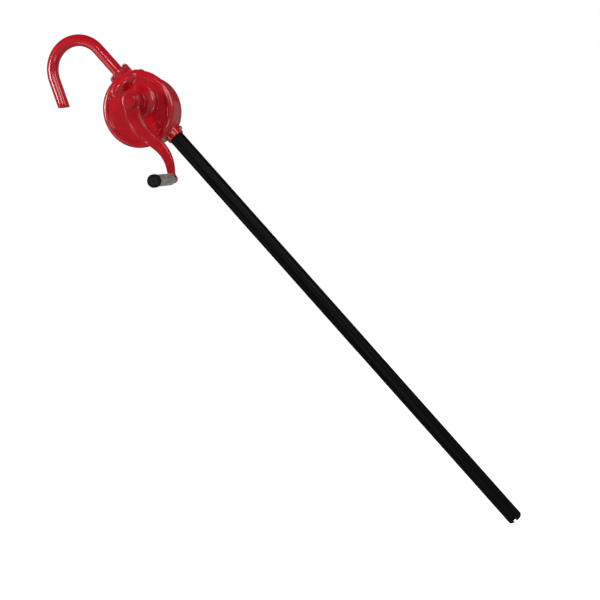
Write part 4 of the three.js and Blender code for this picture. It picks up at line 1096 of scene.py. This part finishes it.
def threaded_shank(tree, radius, length, pitch):
    """A bar cut with a screw thread, hanging below z = 0."""
    bar = round_bar(tree, radius, length, THREAD_RINGS, 3)
    x, y, z = split_position(tree)
    turn = maths(tree, "DIVIDE", maths(tree, "ARCTAN2", y, x), 2 * math.pi)
    along = maths(tree, "ADD", maths(tree, "DIVIDE", z, pitch), turn)
    groove = maths(tree, "PINGPONG", along, 0.5)
    shrink = maths(tree, "SUBTRACT", 1.0, maths(tree, "MULTIPLY", groove, THREAD_DEPTH))
    hang = maths(tree, "SUBTRACT", z, maths(tree, "MULTIPLY", length, 0.5))
    return placed_at(tree, bar, maths(tree, "MULTIPLY", x, shrink), maths(tree, "MULTIPLY", y, shrink), hang)


def hex_screw_tree():
    tree = bpy.data.node_groups.new("hex_screws", "GeometryNodeTree")
    sockets = tree.interface
    sockets.new_socket(name="Places", in_out="INPUT", socket_type="NodeSocketGeometry")
    for name in ("Across Flats", "Head Height", "Shank Radius", "Shank Length", "Thread Pitch"):
        sockets.new_socket(name=name, in_out="INPUT", socket_type="NodeSocketFloat")
    sockets.new_socket(name="Turn", in_out="INPUT", socket_type="NodeSocketVector")
    sockets.new_socket(name="Finish", in_out="INPUT", socket_type="NodeSocketMaterial")
    sockets.new_socket(name="Screws", in_out="OUTPUT", socket_type="NodeSocketGeometry")
    given = tree.nodes.new("NodeGroupInput").outputs
    head = hex_head(tree, given["Across Flats"], given["Head Height"])
    shank = threaded_shank(tree, given["Shank Radius"], given["Shank Length"], given["Thread Pitch"])
    both = tree.nodes.new("GeometryNodeJoinGeometry")
    link_all(tree, [(head, both.inputs[0]), (shank, both.inputs[0])])
    copies = tree.nodes.new("GeometryNodeInstanceOnPoints")
    real = tree.nodes.new("GeometryNodeRealizeInstances")
    finish = tree.nodes.new("GeometryNodeSetMaterial")
    result = tree.nodes.new("NodeGroupOutput")
    link_all(tree, [
        (given["Places"], copies.inputs["Points"]),
        (both.outputs[0], copies.inputs["Instance"]),
        (given["Turn"], copies.inputs["Rotation"]),
        (copies.outputs[0], real.inputs[0]),
        (real.outputs[0], finish.inputs["Geometry"]),
        (given["Finish"], finish.inputs["Material"]),
        (finish.outputs[0], result.inputs[0]),
    ])
    return tree


def make_screws(name, tree, places, turn, sizes, slot, material, replaced):
    """Hex screws with their head's underside at each place; sizes in millimetres by input name."""
    mesh = bpy.data.meshes.new(name + "_places")
    mesh.from_pydata([tuple(c * MM for c in place) for place in places], [], [])
    seed = bpy.data.objects.new(name + "_places", mesh)
    bpy.context.scene.collection.objects.link(seed)
    modifier = seed.modifiers.new("hex_screws", "NODES")
    modifier.node_group = tree
    inputs = {item.name: item.identifier for item in tree.interface.items_tree if item.in_out == "INPUT"}
    for label, value in sizes.items():
        modifier[inputs[label]] = value * MM
    modifier[inputs["Turn"]] = turn
    modifier[inputs["Finish"]] = material
    graph = bpy.context.evaluated_depsgraph_get()
    graph.update()
    solid = bpy.data.meshes.new_from_object(seed.evaluated_get(graph), depsgraph=graph)
    seed.modifiers.remove(modifier)
    bpy.data.objects.remove(seed)
    solid.polygons.foreach_set("use_smooth", [False] * len(solid.polygons))
    placed(name, solid, "casing", slot, material, *replaced)


def screw_sizes(flats, head, radius, length, pitch=THREAD_PITCH):
    """Sizes in millimetres by the names that the screw tree's inputs have."""
    return {"Across Flats": flats, "Head Height": head, "Shank Radius": radius, "Shank Length": length,
            "Thread Pitch": pitch}


def make_cover_screws(tree, material):
    head = 4.5
    seat_y = side("cover_screw_1", 1, 1) - head
    sizes = screw_sizes(10, head, 3, seat_y - side("cover_screw_1", 1, 0))
    places = [(x, seat_y, z) for x, z in screw_places()]
    names = ["cover_screw_%d" % (i + 1) for i in range(SCREW_COUNT)]
    turn = (math.radians(-90), 0, 0)
    make_screws("cover_screws_threaded", tree, places, turn, sizes, "steel", material, names)


def make_flange_bolts(tree, material):
    head = 3.5
    seat_z = side("flange_bolt_1", 2, 1) - head
    sizes = screw_sizes(8, head, 2.5, seat_z - side("flange_bolt_1", 2, 0), THREAD_PITCH * 0.8)
    places = [(-BOLT_X, 0, seat_z), (BOLT_X, 0, seat_z)]
    names = ["flange_bolt_1", "flange_bolt_2"]
    turn = (0, 0, 0)
    make_screws("flange_bolts_threaded", tree, places, turn, sizes, "steel", material, names)


def make_lock_screw(tree, material):
    head = 4
    seat_x = side("pipe_lock_screw", 0, 1) - head
    sizes = screw_sizes(8, head, 3, seat_x - side("pipe_lock_screw", 0, 0))
    places = [(seat_x, 0, LOCK_Z)]
    names = ["pipe_lock_screw"]
    turn = (0, math.radians(90), 0)
    make_screws("lock_screw_threaded", tree, places, turn, sizes, "steel", material, names)


def make_all_screws(material):
    tree = hex_screw_tree()
    make_cover_screws(tree, material)
    make_flange_bolts(tree, material)
    make_lock_screw(tree, material)


# ---- Finishes: shared effects -------------------------------------------------------------------------

def effect(name, inputs, outputs):
    """An empty shader group with a Vector input and the given named numbers, and its two end nodes."""
    group = bpy.data.node_groups.new(name, "ShaderNodeTree")
    group.interface.new_socket(name="Vector", in_out="INPUT", socket_type="NodeSocketVector")
    for label, value in inputs.items():
        socket = group.interface.new_socket(name=label, in_out="INPUT", socket_type="NodeSocketFloat")
        socket.default_value = value
    for label in outputs:
        group.interface.new_socket(name=label, in_out="OUTPUT", socket_type="NodeSocketFloat")
    return group, group.nodes.new("NodeGroupInput").outputs, group.nodes.new("NodeGroupOutput").inputs


def noise(tree, vector, scale, detail, roughness):
    node = tree.nodes.new("ShaderNodeTexNoise")
    node.inputs["Detail"].default_value = detail
    node.inputs["Roughness"].default_value = roughness
    link_all(tree, [(vector, node.inputs["Vector"]), (scale, node.inputs["Scale"])])
    return node.outputs[0]


def between(tree, value, low, high, out_low=0.0, out_high=1.0):
    """The value's place between low and high, clamped and mapped to the new range."""
    node = tree.nodes.new("ShaderNodeMapRange")
    node.interpolation_type = "SMOOTHSTEP"
    tree.links.new(value, node.inputs["Value"])
    for socket, number in zip(list(node.inputs)[1:5], (low, high, out_low, out_high)):
        if isinstance(number, (int, float)):
            socket.default_value = number
        else:
            tree.links.new(number, socket)
    return node.outputs[0]


def build_grain():
    """Fine surface texture: Height for a bump, Tone for slow changes of shade."""
    sizes = {"Fine Scale": 400.0, "Slow Scale": 30.0}
    group, given, result = effect("surface_grain", sizes, ("Height", "Tone"))
    fine = noise(group, given["Vector"], given["Fine Scale"], 3.0, 0.55)
    slow = noise(group, given["Vector"], given["Slow Scale"], 2.0, 0.6)
    height = maths(group, "ADD", maths(group, "MULTIPLY", fine, 0.6), maths(group, "MULTIPLY", slow, 0.4))
    group.links.new(height, result["Height"])
    group.links.new(between(group, slow, 0.3, 0.7), result["Tone"])
    return group


def build_edge_wear_and_highlight():
    """A mask of rubbed edges, broken up by noise; on the red enamel the same edges also carry a painted
    highlight.
    """
    sizes = {"Start": 0.53, "Full": 0.6, "Patch Scale": 120.0}
    group, given, result = effect("edge_wear_and_highlight", sizes, ("Mask",))
    pointed = group.nodes.new("ShaderNodeNewGeometry").outputs["Pointiness"]
    edge = between(group, pointed, given["Start"], given["Full"])
    patch = between(group, noise(group, given["Vector"], given["Patch Scale"], 4.0, 0.6), 0.42, 0.62)
    group.links.new(maths(group, "MULTIPLY", edge, patch), result["Mask"])
    return group


def build_dust():
    """A mask of dust that lies on faces that look up."""
    sizes = {"Amount": 0.2, "Patch Scale": 60.0}
    group, given, result = effect("settled_dust", sizes, ("Mask",))
    parts = group.nodes.new("ShaderNodeSeparateXYZ")
    group.links.new(group.nodes.new("ShaderNodeNewGeometry").outputs["Normal"], parts.inputs[0])
    upward = between(group, parts.outputs["Z"], 0.55, 1.0)
    patch = between(group, noise(group, given["Vector"], given["Patch Scale"], 5.0, 0.65), 0.35, 0.75)
    lying = maths(group, "MULTIPLY", upward, patch)
    group.links.new(maths(group, "MULTIPLY", lying, given["Amount"]), result["Mask"])
    return group


def build_spangle():
    """Crystals of a zinc coat, as a Shade for each and a Border between them."""
    group, given, result = effect("zinc_spangle", {"Crystal Scale": 220.0}, ("Shade", "Border"))
    cells = group.nodes.new("ShaderNodeTexVoronoi")
    tone = group.nodes.new("ShaderNodeSeparateColor")
    link_all(group, [
        (given["Vector"], cells.inputs["Vector"]),
        (given["Crystal Scale"], cells.inputs["Scale"]),
        (cells.outputs["Color"], tone.inputs[0]),
        (tone.outputs[0], result["Shade"]),
    ])
    group.links.new(between(group, cells.outputs["Distance"], 0.2, 0.7), result["Border"])
    return group


EFFECTS = {
    "grain": build_grain(),
    "wear_and_highlight": build_edge_wear_and_highlight(),
    "dust": build_dust(),
    "spangle": build_spangle(),
}


class Finish:
    """A material under construction: its tree, its shader and its Object coordinates."""

    def __init__(self, name, roughness, metallic=0.0):
        self.material = bpy.data.materials.new(name)
        self.material.use_nodes = True
        self.tree = self.material.node_tree
        self.shader = self.tree.nodes["Principled BSDF"]
        self.set("Roughness", roughness)
        self.set("Metallic", metallic)
        self.vector = self.tree.nodes.new("ShaderNodeTexCoord").outputs["Object"]

    def set(self, label, value):
        self.shader.inputs[label].default_value = value

    def feed(self, socket, label):
        self.tree.links.new(socket, self.shader.inputs[label])

    def stretched(self, x, y, z):
        mapping = self.tree.nodes.new("ShaderNodeMapping")
        mapping.inputs["Scale"].default_value = (x, y, z)
        self.tree.links.new(self.vector, mapping.inputs["Vector"])
        return mapping.outputs["Vector"]

    def use(self, name, vector=None, **values):
        node = self.tree.nodes.new("ShaderNodeGroup")
        node.node_tree = EFFECTS[name]
        self.tree.links.new(vector or self.vector, node.inputs["Vector"])
        for label, value in values.items():
            node.inputs[label.replace("_", " ").title()].default_value = value
        return node.outputs

    def mixed(self, mask, first, second):
        """A colour between first and second, each a colour or a socket, by the mask."""
        node = self.tree.nodes.new("ShaderNodeMix")
        node.data_type = "RGBA"
        self.tree.links.new(mask, node.inputs["Factor"])
        for socket, value in ((node.inputs[6], first), (node.inputs[7], second)):
            if isinstance(value, tuple):
                socket.default_value = (*value, 1)
            else:
                self.tree.links.new(value, socket)
        return node.outputs[2]

    def bump(self, height, distance, strength=1.0):
        node = self.tree.nodes.new("ShaderNodeBump")
        node.inputs["Distance"].default_value = distance * MM
        node.inputs["Strength"].default_value = strength
        self.tree.links.new(height, node.inputs["Height"])
        self.feed(node.outputs[0], "Normal")


# ---- Finishes: one function for each ------------------------------------------------------------------

def red_enamel(name, deep, bright, coat, wear_and_highlight_start):
    """Brushed enamel over a sand casting: glossy, with soft waves and rubbed edges whose light pink is partly
    a painted highlight.
    """
    finish = Finish(name, 0.34)
    grain = finish.use("grain", fine_scale=520.0, slow_scale=38.0)
    wear_and_highlight = finish.use("wear_and_highlight", start=wear_and_highlight_start, full=wear_and_highlight_start + 0.09)["Mask"]
    dust = finish.use("dust", amount=0.10)["Mask"]
    paint = finish.mixed(grain["Tone"], deep, bright)
    # Light pink on the edges: partly rubbed paint, partly a painted highlight standing in for the gloss on
    # the rims and the crank's edges.
    paint = finish.mixed(maths(finish.tree, "MULTIPLY", wear_and_highlight, 0.55), paint, (0.62, 0.16, 0.17))
    finish.feed(finish.mixed(dust, paint, (0.55, 0.42, 0.40)), "Base Color")
    rough = between(finish.tree, grain["Tone"], 0.0, 1.0, 0.36, 0.46)
    finish.feed(maths(finish.tree, "ADD", rough, maths(finish.tree, "MULTIPLY", dust, 1.5)), "Roughness")
    finish.set("Specular IOR Level", 0.03)
    finish.set("Coat Weight", coat)
    finish.set("Coat Roughness", 0.15)
    finish.bump(grain["Height"], 0.12, 0.5)
    return finish.material


def satin_black_pipe():
    finish = Finish("satin_black_pipe", 0.38)
    streaks = finish.use("grain", finish.stretched(1, 1, 0.012), fine_scale=700.0, slow_scale=120.0)
    dust = finish.use("dust", amount=0.2)["Mask"]
    shade = finish.mixed(streaks["Tone"], (0.0025, 0.0025, 0.003), (0.006, 0.006, 0.007))
    finish.feed(finish.mixed(dust, shade, (0.2, 0.19, 0.18)), "Base Color")
    finish.feed(between(finish.tree, streaks["Height"], 0.3, 0.7, 0.34, 0.44), "Roughness")
    finish.set("Specular IOR Level", 0.05)
    finish.bump(streaks["Height"], 0.02, 0.3)
    return finish.material


def black_plastic():
    finish = Finish("moulded_black_plastic", 0.45)
    grain = finish.use("grain", fine_scale=1800.0, slow_scale=90.0)
    finish.feed(finish.mixed(grain["Tone"], (0.0022, 0.0022, 0.0025), (0.005, 0.005, 0.0055)), "Base Color")
    finish.feed(between(finish.tree, grain["Height"], 0.3, 0.7, 0.45, 0.6), "Roughness")
    finish.set("Specular IOR Level", 0.1)
    finish.bump(grain["Height"], 0.06, 0.5)
    return finish.material


def mottled_zinc():
    finish = Finish("mottled_zinc", 0.42, 0.7)
    spangle = finish.use("spangle", crystal_scale=210.0)
    fine = finish.use("grain", fine_scale=500.0, slow_scale=120.0)
    coat = finish.mixed(spangle["Shade"], (0.24, 0.225, 0.21), (0.80, 0.78, 0.75))
    finish.feed(finish.mixed(fine["Tone"], coat, (0.34, 0.31, 0.27)), "Base Color")
    finish.feed(between(finish.tree, spangle["Border"], 0.0, 1.0, 0.34, 0.52), "Roughness")
    finish.bump(fine["Height"], 0.08, 0.5)
    return finish.material


def metal(name, deep, bright, roughness, stretch, height):
    """Turned or drawn metal with fine lines along one direction."""
    finish = Finish(name, roughness, 1.0)
    lines = finish.use("grain", finish.stretched(*stretch), fine_scale=1500.0, slow_scale=60.0)
    wear_and_highlight = finish.use("wear_and_highlight", patch_scale=300.0)["Mask"]
    shade = finish.mixed(lines["Tone"], deep, bright)
    rubbed = tuple(min(1.0, c * 1.5) for c in bright)
    finish.feed(finish.mixed(wear_and_highlight, shade, rubbed), "Base Color")
    rough = between(finish.tree, lines["Height"], 0.3, 0.7, roughness - 0.06, roughness + 0.08)
    finish.feed(rough, "Roughness")
    finish.bump(lines["Height"], height, 0.5)
    return finish.material


def cast_iron():
    finish = Finish("bare_cast_iron", 0.55, 0.85)
    grain = finish.use("grain", fine_scale=900.0, slow_scale=140.0)
    finish.feed(finish.mixed(grain["Tone"], (0.09, 0.088, 0.085), (0.17, 0.165, 0.16)), "Base Color")
    finish.feed(between(finish.tree, grain["Height"], 0.3, 0.7, 0.45, 0.65), "Roughness")
    finish.bump(grain["Height"], 0.25, 0.6)
    return finish.material


def gasket_fibre():
    finish = Finish("gasket_fibre", 0.8)
    fibres = finish.use("grain", finish.stretched(1, 1, 6), fine_scale=1400.0, slow_scale=200.0)
    finish.feed(finish.mixed(fibres["Tone"], (0.025, 0.026, 0.024), (0.07, 0.068, 0.06)), "Base Color")
    finish.bump(fibres["Height"], 0.1, 0.7)
    return finish.material


def braided_packing():
    finish = Finish("greased_braid", 0.6)
    weave = finish.tree.nodes.new("ShaderNodeTexWave")
    weave.bands_direction = "DIAGONAL"
    weave.inputs["Scale"].default_value = 180.0
    weave.inputs["Distortion"].default_value = 2.0
    finish.tree.links.new(finish.vector, weave.inputs["Vector"])
    strands = weave.outputs["Fac"]
    finish.feed(finish.mixed(strands, (0.05, 0.045, 0.03), (0.28, 0.25, 0.17)), "Base Color")
    finish.bump(strands, 0.4, 0.8)
    return finish.material


def seal_rubber():
    finish = Finish("nitrile_rubber", 0.6)
    grain = finish.use("grain", fine_scale=2200.0, slow_scale=150.0)
    finish.feed(finish.mixed(grain["Tone"], (0.008, 0.008, 0.008), (0.02, 0.02, 0.02)), "Base Color")
    finish.feed(between(finish.tree, grain["Height"], 0.3, 0.7, 0.5, 0.7), "Roughness")
    return finish.material


def make_finishes():
    return {
        # The last number is where the edges' rubbed paint and painted highlight start.
        "red_paint": red_enamel("red_enamel", (0.43, 0.0014, 0.0085), (0.50, 0.0022, 0.0115), 1.0, 0.535),
        "crank_paint": red_enamel("crank_enamel", (0.37, 0.0022, 0.009), (0.44, 0.0034, 0.0125), 0.8, 0.525),
        "black_pipe": satin_black_pipe(),
        "black_plastic": black_plastic(),
        "zinc": mottled_zinc(),
        "steel": metal("machined_steel", (0.30, 0.30, 0.31), (0.44, 0.44, 0.45), 0.34, (1, 1, 1), 0.04),
        "bronze": metal("bearing_bronze", (0.42, 0.23, 0.08), (0.60, 0.37, 0.15), 0.36, (1, 0.1, 1), 0.04),
        "cast_iron": cast_iron(),
        "gasket": gasket_fibre(),
        "packing": braided_packing(),
        "seal_rubber": seal_rubber(),
    }


# ---- Everything together ------------------------------------------------------------------------------

# CAD nodes that keep their own shape and only take a finish, by finish.
KEPT_NODES = {
    "steel": ("shaft", "rotor_pin", "crank_set_screw", "upper_vane_spring_1", "upper_vane_spring_2",
              "lower_vane_spring_1", "lower_vane_spring_2"),
    "bronze": ("front_bush", "rear_bush", "grip_bush_inner", "grip_bush_outer", "upper_vane", "lower_vane"),
    "cast_iron": ("rotor",),
    "gasket": ("cover_gasket", "flange_gasket"),
    "packing": ("packing_ring_1", "packing_ring_2", "packing_ring_3"),
    "seal_rubber": ("spout_seal",),
}


def finish_kept_nodes(finishes):
    """Gives each kept node its finish on the object, so that the mesh itself stays as it is."""
    for finish_name, nodes in KEPT_NODES.items():
        for node in nodes:
            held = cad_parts[node]
            for slot_of_object in held.material_slots:
                slot_of_object.link = "OBJECT"
                slot_of_object.material = finishes[finish_name]


def build():
    finishes = make_finishes()
    make_pump_body(finishes["red_paint"])
    make_rear_cover(finishes["red_paint"])
    make_spout_flange(finishes["red_paint"])
    make_gland_nut(finishes["red_paint"])
    make_grip_nut(finishes["steel"])
    make_foot_strainer(finishes["black_plastic"])
    make_crank_arm(finishes["crank_paint"])
    make_suction_pipe(finishes["black_pipe"])
    make_grip_sleeve(finishes["zinc"])
    make_grip_end_cap(finishes["black_plastic"])
    make_grip_washer(finishes["steel"])
    make_grip_pin(finishes["steel"])
    make_spout_tube(finishes["red_paint"])
    make_all_screws(finishes["steel"])
    finish_kept_nodes(finishes)


build()
